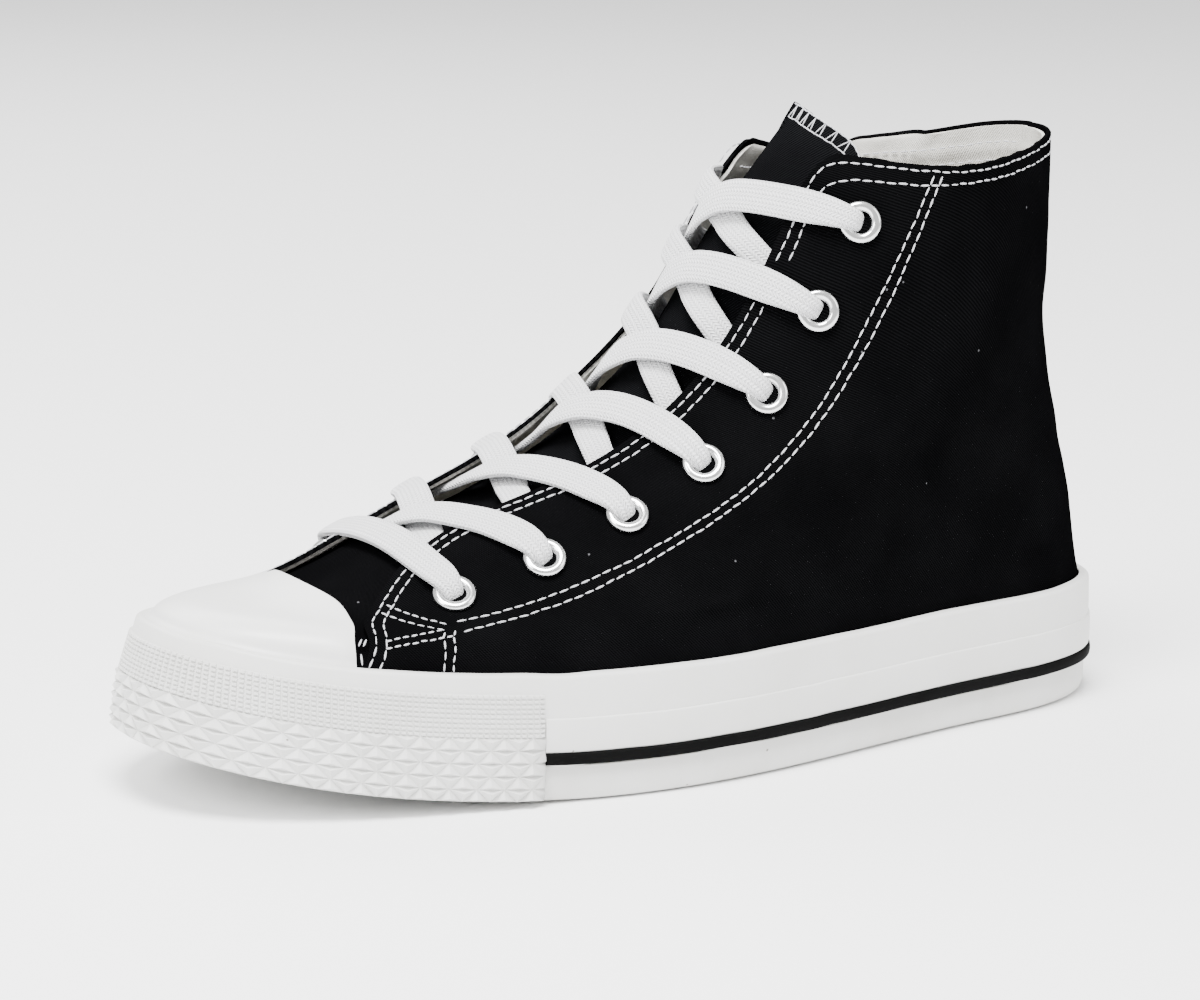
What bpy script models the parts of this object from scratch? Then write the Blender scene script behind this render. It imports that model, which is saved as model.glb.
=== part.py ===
"""High top sneaker, a left shoe: hollow canvas upper on a wrapped rubber sole.

Metres, +Z up, toe towards +X and the outer (lateral) side towards +Y.
The shoe is worked out with the back of the heel at x = 0, and its frame then
sets the middle of its box over the origin.
"""
import math

import bmesh
import bpy
import numpy as np
from mathutils import Vector

# Sizes of the last and the sole
LENGTH = 0.272
BALL_WIDTH = 0.094
COLLAR_HEIGHT = 0.148
SOLE_HEIGHT = 0.0303
TOE_SPRING = 0.0153
TOE_THINNING = 0.0024
TOE_LEAN = 0.006
SPRING_START = 0.62
CLEARANCE = 0.0003

# Upper
UPPER_WALL = 0.0018
QUARTER_STEP = 0.0007
STEP_RAMP = 0.0010
END_FULLNESS = 2.3
HEEL_TAPER = 0.97
TOE_TAPER = 0.80
VAMP_END = 0.37
STEP_FADE = 0.08
QUARTER_COLUMNS = 16
VAMP_COLUMNS = 5
CORNER_START = 0.945
CORNER_SETBACK = 0.0045
DIP_START = 0.72
LATERAL_DIP = 0.0051
MEDIAL_DIP = 0.0071

# Sole
OUTSOLE_THICKNESS = 0.0086
OUTSOLE_EDGE = 0.0012
WALL_RUBBER = 0.0027
BAND_RECESS = 0.0008
TAPE_TOP = 0.0204
TAPE_THICKNESS = 0.0009
STRIPE_HEIGHT = 0.0029
STRIPE_THICKNESS = 0.0014
BUMPER_TOP = 0.0265
BUMPER_LOW = 0.0010
BUMPER_ZONES = 0.0160
BUMPER_THICKNESS = 0.0020
BUMPER_END = 0.690
GROOVE_WIDTH = 0.0026
GROOVE_DEPTH = 0.0012
GROOVE_PITCH = 0.0095
GROOVE_MARGIN = 0.011
INSOLE_THICKNESS = 0.0042
INSOLE_GAP = 0.0013
SOLE_STATIONS = 76

# Overlays, tongue, eyelets and laces
CAP_THICKNESS = 0.0013
CAP_LOW = 0.008
CAP_REAR = 0.842
STRIP_WIDTH = 0.018
STRIP_THICKNESS = 0.0009
TONGUE_THICKNESS = 0.0022
LACE_ROOM = 0.0034
TONGUE_START = 0.30
TONGUE_TOP = 1.066
TONGUE_SLOPE = 0.055
TONGUE_PEAK = -0.35
TONGUE_CORNER = 0.035
EYELET_PAIRS = 7
EYELET_RADIUS = 0.0052
EYELET_BORE = 0.0027
EYELET_WALL = 0.0004
EYELET_LIFT = 0.0006
EYELET_TURNS = 12
EYELET_FLANGE = 0.0007
LACE_WIDTH = 0.0084
LACE_THICKNESS = 0.0026
CORD_LIFT = 0.0011
CORD_INSET = 0.085

# Rings of the last from the top of the sole (level 0) to the collar (level 1).
# back_x and front_x are shares of the length, back_z and front_z shares of the
# height between sole and collar, and front_y is a share of the ball width.
# spring is how far a ring follows the toe spring, lean how far it tips outwards.
PROFILE_COLUMNS = ("level", "back_x", "back_z", "front_x", "front_z", "front_y", "spring", "lean")
PROFILE = (
    (0.00, 0.016, 0.000, 0.963, 0.000, -0.045, 1.0, 0.000),
    (0.11, 0.024, 0.070, 0.938, 0.066, -0.042, 0.6, 0.000),
    (0.25, 0.032, 0.157, 0.852, 0.118, -0.042, 0.3, 0.030),
    (0.39, 0.042, 0.265, 0.733, 0.234, -0.048, 0.1, 0.045),
    (0.55, 0.057, 0.401, 0.603, 0.357, -0.046, 0.0, 0.045),
    (0.70, 0.068, 0.570, 0.505, 0.553, -0.038, 0.0, 0.050),
    (0.86, 0.066, 0.786, 0.443, 0.761, -0.024, 0.0, 0.010),
    (1.00, 0.065, 0.979, 0.388, 0.982, -0.010, 0.0, -0.010),
)

# Half widths of the same rings, as shares of the ball width, at four stations
# from heel to toe, and how far each end is rounded, as shares of the length.
WIDTH_COLUMNS = ("level", "heel_round", "toe_round",
                 "lat_heel", "lat_waist", "lat_ball", "lat_toe",
                 "med_heel", "med_waist", "med_ball", "med_toe")
WIDTHS = (
    (0.00, 0.170, 0.185, 0.323, 0.421, 0.500, 0.392, 0.315, 0.300, 0.408, 0.430),
    (0.11, 0.148, 0.224, 0.313, 0.409, 0.476, 0.392, 0.325, 0.317, 0.414, 0.370),
    (0.25, 0.134, 0.246, 0.308, 0.391, 0.449, 0.376, 0.326, 0.341, 0.400, 0.410),
    (0.39, 0.129, 0.246, 0.298, 0.376, 0.426, 0.376, 0.322, 0.353, 0.398, 0.410),
    (0.55, 0.125, 0.230, 0.283, 0.365, 0.404, 0.371, 0.312, 0.352, 0.389, 0.405),
    (0.70, 0.125, 0.213, 0.263, 0.350, 0.381, 0.364, 0.299, 0.351, 0.383, 0.330),
    (0.86, 0.128, 0.186, 0.266, 0.333, 0.368, 0.369, 0.286, 0.350, 0.373, 0.310),
    (1.00, 0.142, 0.182, 0.252, 0.312, 0.369, 0.359, 0.255, 0.359, 0.374, 0.279),
)
STATIONS = (0.0, 0.14, 0.36, 0.60, 0.82, 1.0)

# Edge of each quarter, from the sole up its front and along the throat: the
# distance from the middle of the instep, as a share of the ball width.
EDGE_COLUMNS = ("level", "lateral", "medial")
QUARTER_EDGE = (
    (0.00, 0.372, 0.350),
    (0.10, 0.345, 0.290),
    (0.20, 0.275, 0.210),
    (0.27, 0.212, 0.152),
    (0.33, 0.155, 0.128),
    (0.40, 0.121, 0.127),
    (0.50, 0.147, 0.150),
    (0.62, 0.202, 0.192),
    (0.72, 0.219, 0.208),
    (0.85, 0.223, 0.210),
    (1.00, 0.205, 0.185),
)

# Line of the eyelets on both quarters
EYELET_LINE_COLUMNS = ("level", "share")
EYELET_LINE = (
    (0.287, 0.893),
    (0.355, 0.856),
    (0.470, 0.829),
    (0.660, 0.797),
    (0.914, 0.773),
)


def natural_spline(knots, rows, places):
    """Natural cubic through the rows at their knots, straight beyond both ends."""
    x = np.asarray(knots, float)
    y = np.asarray(rows, float)
    step = np.diff(x)
    system = np.eye(len(x))
    right = np.zeros_like(y)
    for i in range(1, len(x) - 1):
        system[i, i - 1:i + 2] = step[i - 1], 2 * (step[i - 1] + step[i]), step[i]
        right[i] = 6 * ((y[i + 1] - y[i]) / step[i] - (y[i] - y[i - 1]) / step[i - 1])
    bend = np.linalg.solve(system, right)
    t = np.atleast_1d(np.asarray(places, float))
    k = np.clip(np.searchsorted(x, t) - 1, 0, len(x) - 2)
    inside = np.clip(t, x[0], x[-1])
    h = step[k][:, None]
    u = (x[k + 1] - inside)[:, None] / h
    w = 1 - u
    value = u * y[k] + w * y[k + 1]
    value += ((u ** 3 - u) * bend[k] + (w ** 3 - w) * bend[k + 1]) * h ** 2 / 6
    slope = (y[k + 1] - y[k]) / h
    slope += (-(3 * u ** 2 - 1) * bend[k] + (3 * w ** 2 - 1) * bend[k + 1]) * h / 6
    return value + slope * (t - inside)[:, None]


def table(rows, columns, places):
    """A table read at places along its first column, as a dict of its other columns."""
    values = natural_spline([row[0] for row in rows], [row[1:] for row in rows], places)
    return dict(zip(columns[1:], values.T))


def end_round(distance, reach):
    """Rounded end of a ring: 0 at its tip, 1 from reach on."""
    gap = 1 - np.clip(distance / reach, 0, 1)
    return (1 - gap ** END_FULLNESS) ** (1 / END_FULLNESS)


def toe_rise(x):
    """0 where the sole is flat, 1 at the tip of the toe."""
    return np.clip((x / LENGTH - SPRING_START) / (1 - SPRING_START), 0, None) ** 2


def sole_z(x, height):
    """Height above the floor of a line that runs along the sole."""
    rise = toe_rise(x)
    return height * (1 - TOE_THINNING / SOLE_HEIGHT * rise) + TOE_SPRING * rise


def skin(level, place):
    """Outer face of the quarters.

    place runs along a ring: 0 on the instep's middle, +1 at the heel by the
    lateral side and -1 at the heel by the medial side.
    """
    level, place = np.broadcast_arrays(np.asarray(level, float), np.asarray(place, float))
    flat_level = level.ravel()
    side = np.where(place.ravel() < 0, -1.0, 1.0)
    share = 1 - np.abs(place.ravel())
    ring = table(PROFILE, PROFILE_COLUMNS, flat_level)
    wide = table(WIDTHS, WIDTH_COLUMNS, flat_level)
    four = [np.where(side > 0, wide["lat_" + name], wide["med_" + name])
            for name in ("heel", "waist", "ball", "toe")]
    full = np.column_stack([four[0] * HEEL_TAPER, *four, four[3] * TOE_TAPER]) * BALL_WIDTH
    half = (natural_spline(STATIONS, np.eye(len(STATIONS)), share) * full).sum(1)
    back_x = ring["back_x"] * LENGTH
    run = ring["front_x"] * LENGTH - back_x
    half = half * end_round(share * run, wide["heel_round"] * LENGTH)
    half = half * end_round((1 - share) * run, wide["toe_round"] * LENGTH)
    x = back_x + share * run
    middle = ring["front_y"] * BALL_WIDTH * np.clip((share - 0.35) / 0.65, 0, 1) ** 1.5
    y = middle + side * half
    spring = np.clip(ring["spring"], 0, 1) * (sole_z(x, SOLE_HEIGHT) - SOLE_HEIGHT)
    rise = ring["back_z"] + (ring["front_z"] - ring["back_z"]) * share
    z = SOLE_HEIGHT + spring + (COLLAR_HEIGHT - SOLE_HEIGHT) * rise
    z = z - ring["lean"] * (y - middle) * np.clip((share - 0.2) / 0.5, 0, 1)
    top = np.clip((flat_level - DIP_START) / (1 - DIP_START), 0, 1) ** 2
    dip = np.where(side > 0, LATERAL_DIP, MEDIAL_DIP)
    z = z - dip * np.sin(np.pi * np.clip(share, 0, 1)) * top
    return np.stack([x, y, z], -1).reshape(level.shape + (3,))


def place_at_width(level, width, side):
    """Place on a ring, near the instep, at a sideways distance from its middle."""
    low, high = 0.0, 0.45
    middle = skin(level, 0.0)[1]
    for _ in range(40):
        half = (low + high) / 2
        if abs(skin(level, side * half)[1] - middle) < width:
            low = half
        else:
            high = half
    return side * low


def place_at_back(level, width, side):
    """Place on a ring, near the heel, at a sideways distance from its back."""
    low, high = 0.88, 1.0
    for _ in range(40):
        half = (low + high) / 2
        if abs(skin(level, side * half)[1]) > width:
            low = half
        else:
            high = half
    return side * high


def edge_place(level, side, inset=0.0):
    """Place of the quarter's edge, or of a line inset from it towards the instep."""
    edge = table(QUARTER_EDGE, EDGE_COLUMNS, level)
    width = edge["lateral" if side > 0 else "medial"][0] * BALL_WIDTH
    over = max(0.0, (level - CORNER_START) / (1 - CORNER_START))
    width += CORNER_SETBACK * (1 - math.sqrt(max(0.0, 1 - min(over, 1.0) ** 2)))
    return place_at_width(level, width - inset, side)


def grid_normals(grid):
    """Outward unit normals of a grid of points."""
    down = np.gradient(grid, axis=0)
    across = np.gradient(grid, axis=1)
    normal = np.cross(across, down)
    normal /= np.maximum(np.linalg.norm(normal, axis=-1, keepdims=True), 1e-12)
    centre = np.array([LENGTH * 0.45, 0.0, SOLE_HEIGHT])
    if ((grid - centre) * normal).sum() < 0:
        normal = -normal
    return normal


def new_object(name, bm, material, smooth=True):
    """An object for the model from a bmesh, shaded smooth but for its sharp edges."""
    mesh = bpy.data.meshes.new(name)
    bm.to_mesh(mesh)
    bm.free()
    if smooth:
        mesh.shade_smooth()
        mesh.set_sharp_from_angle(angle=math.radians(35))
    mesh.materials.append(material)
    obj = bpy.data.objects.new(name, mesh)
    model.objects.link(obj)
    obj.parent = frame
    return obj


def grid_sheet(bm, grid):
    """Quads over a grid of points; a point is used once, and NaN points leave a hole."""
    verts = {}
    for i, row in enumerate(grid):
        for j, point in enumerate(row):
            if not np.isnan(point[0]):
                verts[i, j] = bm.verts.new(point)
    for i in range(grid.shape[0] - 1):
        for j in range(grid.shape[1] - 1):
            corners = [(i, j), (i, j + 1), (i + 1, j + 1), (i + 1, j)]
            if all(key in verts for key in corners):
                bm.faces.new([verts[key] for key in corners])
    return verts


def solid_patch(name, grid, wall, material):
    """A closed solid from a grid, grown outwards by its wall."""
    outer = grid + grid_normals(grid) * wall
    bm = bmesh.new()
    low = grid_sheet(bm, grid)
    high = grid_sheet(bm, outer)
    rows, columns = grid.shape[:2]
    rim = [(0, j) for j in range(columns)]
    rim += [(i, columns - 1) for i in range(1, rows)]
    rim += [(rows - 1, j) for j in range(columns - 2, -1, -1)]
    rim += [(i, 0) for i in range(rows - 2, 0, -1)]
    for a, b in zip(rim, rim[1:] + rim[:1]):
        bm.faces.new([low[a], low[b], high[b], high[a]])
    bmesh.ops.remove_doubles(bm, verts=bm.verts, dist=0.00002)
    bmesh.ops.recalc_face_normals(bm, faces=bm.faces)
    return new_object(name, bm, material)


# Sole

def base_loop():
    """Fine loop of the last at the sole's top, from the heel by the lateral side."""
    half = (1 - np.cos(np.linspace(0, np.pi, 361))) / 2
    lateral = skin(0.0, 1 - half)[:, :2]
    medial = skin(0.0, half - 1)[:, :2]
    loop = np.concatenate([lateral, medial[::-1][1:-1]])
    tangent = np.roll(loop, -1, axis=0) - np.roll(loop, 1, axis=0)
    tangent /= np.linalg.norm(tangent, axis=1)[:, None]
    outward = np.column_stack([-tangent[:, 1], tangent[:, 0]])
    return loop, outward


def sole_line(offset, height, turns):
    """Points at shares of the way around the sole, at an offset and a height."""
    loop, outward = base_loop()
    flare = TOE_LEAN * toe_rise(loop[:, 0]) * (1 - (height / SOLE_HEIGHT) ** 1.5)
    moved = loop + outward * (offset + flare)[:, None]
    closed = np.concatenate([loop, loop[:1]])
    length = np.concatenate([[0], np.cumsum(np.linalg.norm(np.diff(closed, axis=0), axis=1))])
    middle = length[len(loop) // 2]
    share = np.where(length < middle, length / middle / 2,
                     0.5 + (length - middle) / (length[-1] - middle) / 2)
    moved = np.concatenate([moved, moved[:1]])
    turns = np.asarray(turns) % 1.0
    x = np.interp(turns, share, moved[:, 0])
    y = np.interp(turns, share, moved[:, 1])
    return np.column_stack([x, y, sole_z(x, height)])


EVEN_TURNS = np.arange(SOLE_STATIONS) / SOLE_STATIONS


def plate(name, rings, material):
    """A plate across the shoe: rings of (offset, height) from its underside to its top."""
    bm = bmesh.new()
    loops = []
    for offset, height in rings:
        loops.append([bm.verts.new(point) for point in sole_line(offset, height, EVEN_TURNS)])
    count = SOLE_STATIONS
    for low, high in zip(loops, loops[1:]):
        for i in range(count):
            j = (i + 1) % count
            bm.faces.new([low[i], low[j], high[j], high[i]])
    for loop in (loops[0], loops[-1]):
        for i in range(count // 2):
            corners = [loop[i], loop[i + 1], loop[(count - i - 1) % count], loop[(count - i) % count]]
            bm.faces.new(list(dict.fromkeys(corners)))
    bmesh.ops.recalc_face_normals(bm, faces=bm.faces)
    return new_object(name, bm, material)


def band(name, profile, turns, closed, material):
    """A rubber strip with a profile of (offset, height) points, run along the outline."""
    bm = bmesh.new()
    loops = []
    for offset, height in profile:
        loops.append([bm.verts.new(point) for point in sole_line(offset, height, turns)])
    count = len(turns)
    for low, high in zip(loops, loops[1:] + loops[:1]):
        for i in range(count if closed else count - 1):
            j = (i + 1) % count
            bm.faces.new([low[i], low[j], high[j], high[i]])
    if not closed:
        bm.faces.new([loop[0] for loop in loops])
        bm.faces.new([loop[-1] for loop in loops])
    bmesh.ops.recalc_face_normals(bm, faces=bm.faces)
    return new_object(name, bm, material)


def make_outsole():
    side = CLEARANCE + WALL_RUBBER - BAND_RECESS
    rings = ((side - OUTSOLE_EDGE, 0.0), (side, OUTSOLE_EDGE), (side, OUTSOLE_THICKNESS))
    outsole = plate("outsole", rings, white_rubber)
    cross_groove(outsole, 0.425 * LENGTH, 0.14 * LENGTH, "waist_pocket_cut")
    for start, count, label in ((0.075, 4, "heel"), (0.545, 7, "forefoot")):
        for i in range(count):
            x = start * LENGTH + (i + 0.5) * GROOVE_PITCH
            cross_groove(outsole, x, GROOVE_WIDTH, "%s_groove_cut_%d" % (label, i + 1))


def cross_groove(outsole, x, width, name):
    """A shallow groove across the underside, kept inside the sole's edge."""
    ring = sole_line(-GROOVE_MARGIN, 0.0, EVEN_TURNS)
    near = ring[np.abs(ring[:, 0] - x) < 0.006]
    low, high = near[near[:, 1] < 0][:, 1].mean(), near[near[:, 1] > 0][:, 1].mean()
    bm = bmesh.new()
    bmesh.ops.create_cube(bm, size=1.0)
    bmesh.ops.scale(bm, vec=(width, high - low, 2 * GROOVE_DEPTH), verts=bm.verts)
    cutter = new_object(name, bm, white_rubber, smooth=False)
    cutter.location = (x, (low + high) / 2, sole_z(x, 0.0))
    cutter.rotation_euler.y = -2 * TOE_SPRING * math.sqrt(toe_rise(x)) / (LENGTH * (1 - SPRING_START))
    make_cutter(cutter)
    cut(outsole, cutter, name)


def make_cutter(obj):
    model.objects.unlink(obj)
    cutters.objects.link(obj)
    obj.display_type = 'WIRE'
    obj.hide_render = True


def cut(obj, cutter, name):
    modifier = obj.modifiers.new(name, 'BOOLEAN')
    modifier.operation = 'DIFFERENCE'
    modifier.object = cutter


def make_foxing():
    inner = CLEARANCE
    outer = CLEARANCE + WALL_RUBBER
    recess = outer - BAND_RECESS
    low = OUTSOLE_THICKNESS + CLEARANCE
    step = TAPE_TOP + CLEARANCE
    profile = ((inner, low), (recess, low), (recess, step), (outer, step + BAND_RECESS),
               (outer, SOLE_HEIGHT - 0.0016), (outer - 0.0006, SOLE_HEIGHT - 0.0004),
               (outer - 0.0014, SOLE_HEIGHT), (inner, SOLE_HEIGHT))
    band("foxing", profile, EVEN_TURNS, True, white_rubber)


def bumper_turns():
    """Turns of the bumper's lateral and medial ends."""
    turns = np.linspace(0, 1, 721)[:-1]
    x = sole_line(0.0, 0.0, turns)[:, 0]
    under = turns[x > BUMPER_END * LENGTH]
    return under[0], under[-1]


def turns_between(start, end):
    """Turns of the common stations between two ends, and the ends themselves."""
    even = np.concatenate([EVEN_TURNS, EVEN_TURNS + 1])
    spare = 0.2 / SOLE_STATIONS
    inner = even[(even > start + spare) & (even < end - spare)]
    return np.concatenate([[start], inner, [end]])


def make_side_strips():
    start, end = bumper_turns()
    gap = CLEARANCE / (2.3 * LENGTH)
    toe = turns_between(start, end)
    rest = turns_between(end + gap, 1 + start - gap)
    wall = CLEARANCE + WALL_RUBBER
    inner = wall - BAND_RECESS + CLEARANCE
    stripe_low = OUTSOLE_THICKNESS + 2 * CLEARANCE
    stripe_top = stripe_low + STRIPE_HEIGHT
    tape_low = stripe_top + CLEARANCE
    tape = inner + TAPE_THICKNESS
    stripe = inner + STRIPE_THICKNESS
    bumper = inner + BUMPER_THICKNESS
    band("side_tape", ((inner, tape_low), (tape, tape_low), (tape, TAPE_TOP - 0.0004),
                       (tape - 0.0004, TAPE_TOP), (inner, TAPE_TOP)), rest, False, white_rubber)
    band("pinstripe", ((inner, stripe_low), (stripe, stripe_low + 0.0003),
                       (stripe, stripe_top - 0.0003), (inner, stripe_top)), rest, False, black_rubber)
    band("toe_bumper", ((inner, BUMPER_LOW), (bumper - 0.0006, BUMPER_LOW),
                        (bumper, BUMPER_LOW + 0.0008), (bumper, BUMPER_ZONES),
                        (bumper - 0.0003, BUMPER_TOP - 0.0010), (bumper - 0.0009, BUMPER_TOP),
                        (wall + CLEARANCE, BUMPER_TOP), (wall + CLEARANCE, TAPE_TOP + BAND_RECESS),
                        (inner, TAPE_TOP - CLEARANCE), (inner, OUTSOLE_THICKNESS)),
         toe, False, white_rubber)


def make_insole():
    edge = -(UPPER_WALL + INSOLE_GAP)
    low = OUTSOLE_THICKNESS + CLEARANCE
    rings = ((edge, low), (edge, low + INSOLE_THICKNESS - 0.001), (edge - 0.001, low + INSOLE_THICKNESS))
    plate("insole", rings, insole_fabric)


# Upper

def upper_levels():
    rising = np.array([0.0, 0.035, 0.075, 0.115, 0.155, 0.20, 0.245, 0.29, 0.33])
    throat = np.linspace(VAMP_END, CORNER_START, 11)
    corner = CORNER_START + (1 - CORNER_START) * np.sin(np.linspace(0.25, 1, 4) * math.pi / 2)
    return np.concatenate([rising, throat, corner])


def upper_grid():
    """Outer face of the upper, from the lateral side of the heel around the toe."""
    quarter = 1 - (1 - np.linspace(0, 1, QUARTER_COLUMNS)) ** 1.5
    vamp = (np.arange(VAMP_COLUMNS, 0, -1) / VAMP_COLUMNS) ** 2
    rows = []
    for level in upper_levels():
        places = []
        for side in (1, -1):
            edge = abs(edge_place(level, side))
            ramp = abs(edge_place(level, side, STEP_RAMP))
            outer = edge + (1 - edge) * quarter
            places.append(side * np.concatenate([outer[::-1], ramp * vamp]))
        row = np.concatenate([places[0], [0.0], places[1][::-1][:-1]])
        rows.append(skin(level, row))
    return np.array(rows)


def make_upper():
    """Hollow shell: the quarters stand a step out from the vamp, the throat is open."""
    grid = upper_grid()
    around = np.concatenate([grid[:, -1:], grid, grid[:, :1]], axis=1)
    normal = grid_normals(around)[:, 1:-1]
    vamp = slice(QUARTER_COLUMNS, QUARTER_COLUMNS + 2 * VAMP_COLUMNS + 1)
    levels = upper_levels()
    step = QUARTER_STEP * np.clip(levels / STEP_FADE, 0, 1)
    grid[:, vamp] -= normal[:, vamp] * step[:, None, None]
    grid[levels > VAMP_END + 1e-6, vamp] = np.nan
    foot = grid[:1].copy()
    low = OUTSOLE_THICKNESS + CLEARANCE
    flare = TOE_LEAN * toe_rise(foot[..., 0]) * (1 - (low / SOLE_HEIGHT) ** 1.5)
    outward = normal[:1, :, :2] / np.linalg.norm(normal[:1, :, :2], axis=-1, keepdims=True)
    foot[..., :2] += outward * flare[..., None]
    foot[..., 2] = sole_z(foot[..., 0], low)
    grid = np.concatenate([foot, grid])
    bm = bmesh.new()
    verts = grid_sheet(bm, grid)
    last = grid.shape[1] - 1
    for i in range(grid.shape[0] - 1):
        bm.faces.new([verts[i, last], verts[i, 0], verts[i + 1, 0], verts[i + 1, last]])
    bmesh.ops.recalc_face_normals(bm, faces=bm.faces)
    if sum(face.normal.x for face in verts[8, 0].link_faces) > 0:
        bmesh.ops.reverse_faces(bm, faces=bm.faces)
    upper = new_object("upper", bm, black_canvas)
    wall = upper.modifiers.new("wall", 'SOLIDIFY')
    wall.thickness = UPPER_WALL
    wall.offset = -1.0
    return upper


def level_at_x(place, x):
    """Level where the skin, followed up from the sole, comes back to x."""
    low, high = 0.0, 0.45
    for _ in range(40):
        half = (low + high) / 2
        if skin(half, place)[0] > x:
            low = half
        else:
            high = half
    return low


def make_toe_cap():
    """Rubber cap over the vamp, from the sole's edge back to a cut across the toe."""
    rear = CAP_REAR * LENGTH
    corners = []
    for side in (1, -1):
        places = np.linspace(0.02, 0.3, 281)
        x = skin(CAP_LOW, side * places)[:, 0]
        corners.append(places[x > rear].max())
    rows = []
    around = np.linspace(1, 0, 10) ** 1.6
    places = np.concatenate([corners[0] * around * 0.985, -corners[1] * around[::-1][1:] * 0.985])
    for share in np.linspace(0, 1, 8):
        row = []
        for place in places:
            top = level_at_x(place, rear)
            row.append(skin(CAP_LOW + (top - CAP_LOW) * share, place))
        rows.append(row)
    grid = np.array(rows)
    grid += grid_normals(grid) * CLEARANCE
    solid_patch("toe_cap", grid, CAP_THICKNESS, white_rubber)


def make_heel_strip():
    """Canvas back stay over the heel seam, from the sole to the collar."""
    rows = []
    for level in np.linspace(0.012, 0.985, 15):
        row = []
        for y in np.linspace(1, -1, 7) * STRIP_WIDTH / 2:
            side = 1 if y >= 0 else -1
            row.append(skin(level, place_at_back(level, abs(y), side)))
        rows.append(row)
    grid = np.array(rows)
    grid += grid_normals(grid) * CLEARANCE
    solid_patch("heel_strip", grid, STRIP_THICKNESS, black_canvas)


def make_tongue():
    """A sheet under the throat, down to the vamp and up past the collar."""
    rows = []
    drops = []
    for share in np.linspace(0, 1, 15):
        half = BALL_WIDTH * (0.20 + 0.115 * min(1.0, 1.3 * share))
        row = []
        drop = []
        for t in np.linspace(1, -1, 10):
            top = TONGUE_TOP - TONGUE_SLOPE * ((t - TONGUE_PEAK) / (1 - TONGUE_PEAK)) ** 2
            top -= TONGUE_CORNER * max(0.0, (abs(t) - 0.6) / 0.4) ** 3
            level = TONGUE_START + (top - TONGUE_START) * share
            side = 1 if t >= 0 else -1
            row.append(skin(level, place_at_width(level, abs(t) * half, side)))
            room = min(1.0, max(0.0, (level - TONGUE_START) / 0.14))
            drop.append(UPPER_WALL + QUARTER_STEP * (1 - room) + CLEARANCE + LACE_ROOM * room)
        rows.append(row)
        drops.append(drop)
    grid = np.array(rows)
    grid -= grid_normals(grid) * (np.array(drops) + TONGUE_THICKNESS)[..., None]
    solid_patch("tongue", grid, TONGUE_THICKNESS, black_canvas)


# Eyelets and laces

def surface_frame(level, place):
    """A point of the outer face with its outward normal."""
    step = 0.004
    here = skin(level, place)
    up = skin(level + step, place) - skin(level - step, place)
    along = skin(level, place + step) - skin(level, place - step)
    normal = np.cross(up, along)
    normal /= np.linalg.norm(normal)
    outward = here - np.array([here[0] - 0.01, 0.0, here[2] - 0.01])
    if (normal * outward).sum() < 0:
        normal = -normal
    return Vector(here), Vector(normal)


def eyelet_places():
    """Level, lateral place and medial place of each eyelet pair, evenly spaced."""
    levels = np.linspace(EYELET_LINE[0][0], EYELET_LINE[-1][0], 121)
    shares = table(EYELET_LINE, EYELET_LINE_COLUMNS, levels)["share"]
    points = skin(levels, 1 - shares)
    length = np.concatenate([[0], np.cumsum(np.linalg.norm(np.diff(points, axis=0), axis=1))])
    even = np.linspace(0, length[-1], EYELET_PAIRS)
    places = []
    for level, share in zip(np.interp(even, length, levels), np.interp(even, length, shares)):
        width = skin(level, 1 - share)[1] - skin(level, 0.0)[1]
        places.append((level, 1 - share, place_at_width(level, width, -1)))
    return places


def turned_eyelet(name):
    """A rolled flange and a barrel, turned about their own axis."""
    barrel = EYELET_BORE + EYELET_WALL
    top = EYELET_LIFT + EYELET_FLANGE
    depth = -(UPPER_WALL + 0.0006)
    profile = ((EYELET_BORE, depth), (barrel, depth), (barrel, EYELET_LIFT),
               (EYELET_RADIUS - 0.0003, EYELET_LIFT), (EYELET_RADIUS, top - EYELET_FLANGE / 2),
               (EYELET_RADIUS - 0.0009, top), (EYELET_BORE + 0.0006, top), (EYELET_BORE, EYELET_LIFT))
    bm = bmesh.new()
    points = [bm.verts.new((radius, 0, z)) for radius, z in profile]
    for a, b in zip(points, points[1:] + points[:1]):
        bm.edges.new([a, b])
    eyelet = new_object(name, bm, aluminium)
    turn = eyelet.modifiers.new("turned", 'SCREW')
    turn.angle = 2 * math.pi
    turn.steps = EYELET_TURNS
    turn.render_steps = EYELET_TURNS
    turn.use_merge_vertices = True
    turn.merge_threshold = 0.00001
    turn.use_smooth_shade = True
    turn.use_normal_calculate = True
    return eyelet


def make_eyelets(upper):
    """Metal eyelets through the quarters, and the holes that they sit in."""
    reach = EYELET_BORE + EYELET_WALL + CLEARANCE
    for i, (level, lateral, medial) in enumerate(eyelet_places()):
        for label, place in (("lateral_%d" % (i + 1), lateral), ("medial_%d" % (i + 1), medial)):
            point, normal = surface_frame(level, place)
            eyelet = turned_eyelet("eyelet_" + label)
            hole = bmesh.new()
            bmesh.ops.create_cone(hole, cap_ends=True, segments=EYELET_TURNS, radius1=reach,
                                  radius2=reach, depth=12 * UPPER_WALL / 2)
            cutter = new_object("hole_cut_" + label, hole, aluminium, smooth=False)
            for obj in (eyelet, cutter):
                obj.rotation_mode = 'QUATERNION'
                obj.rotation_quaternion = normal.to_track_quat('Z', 'Y')
                obj.location = point
            make_cutter(cutter)
            cut(upper, cutter, "hole_" + label)


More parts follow.
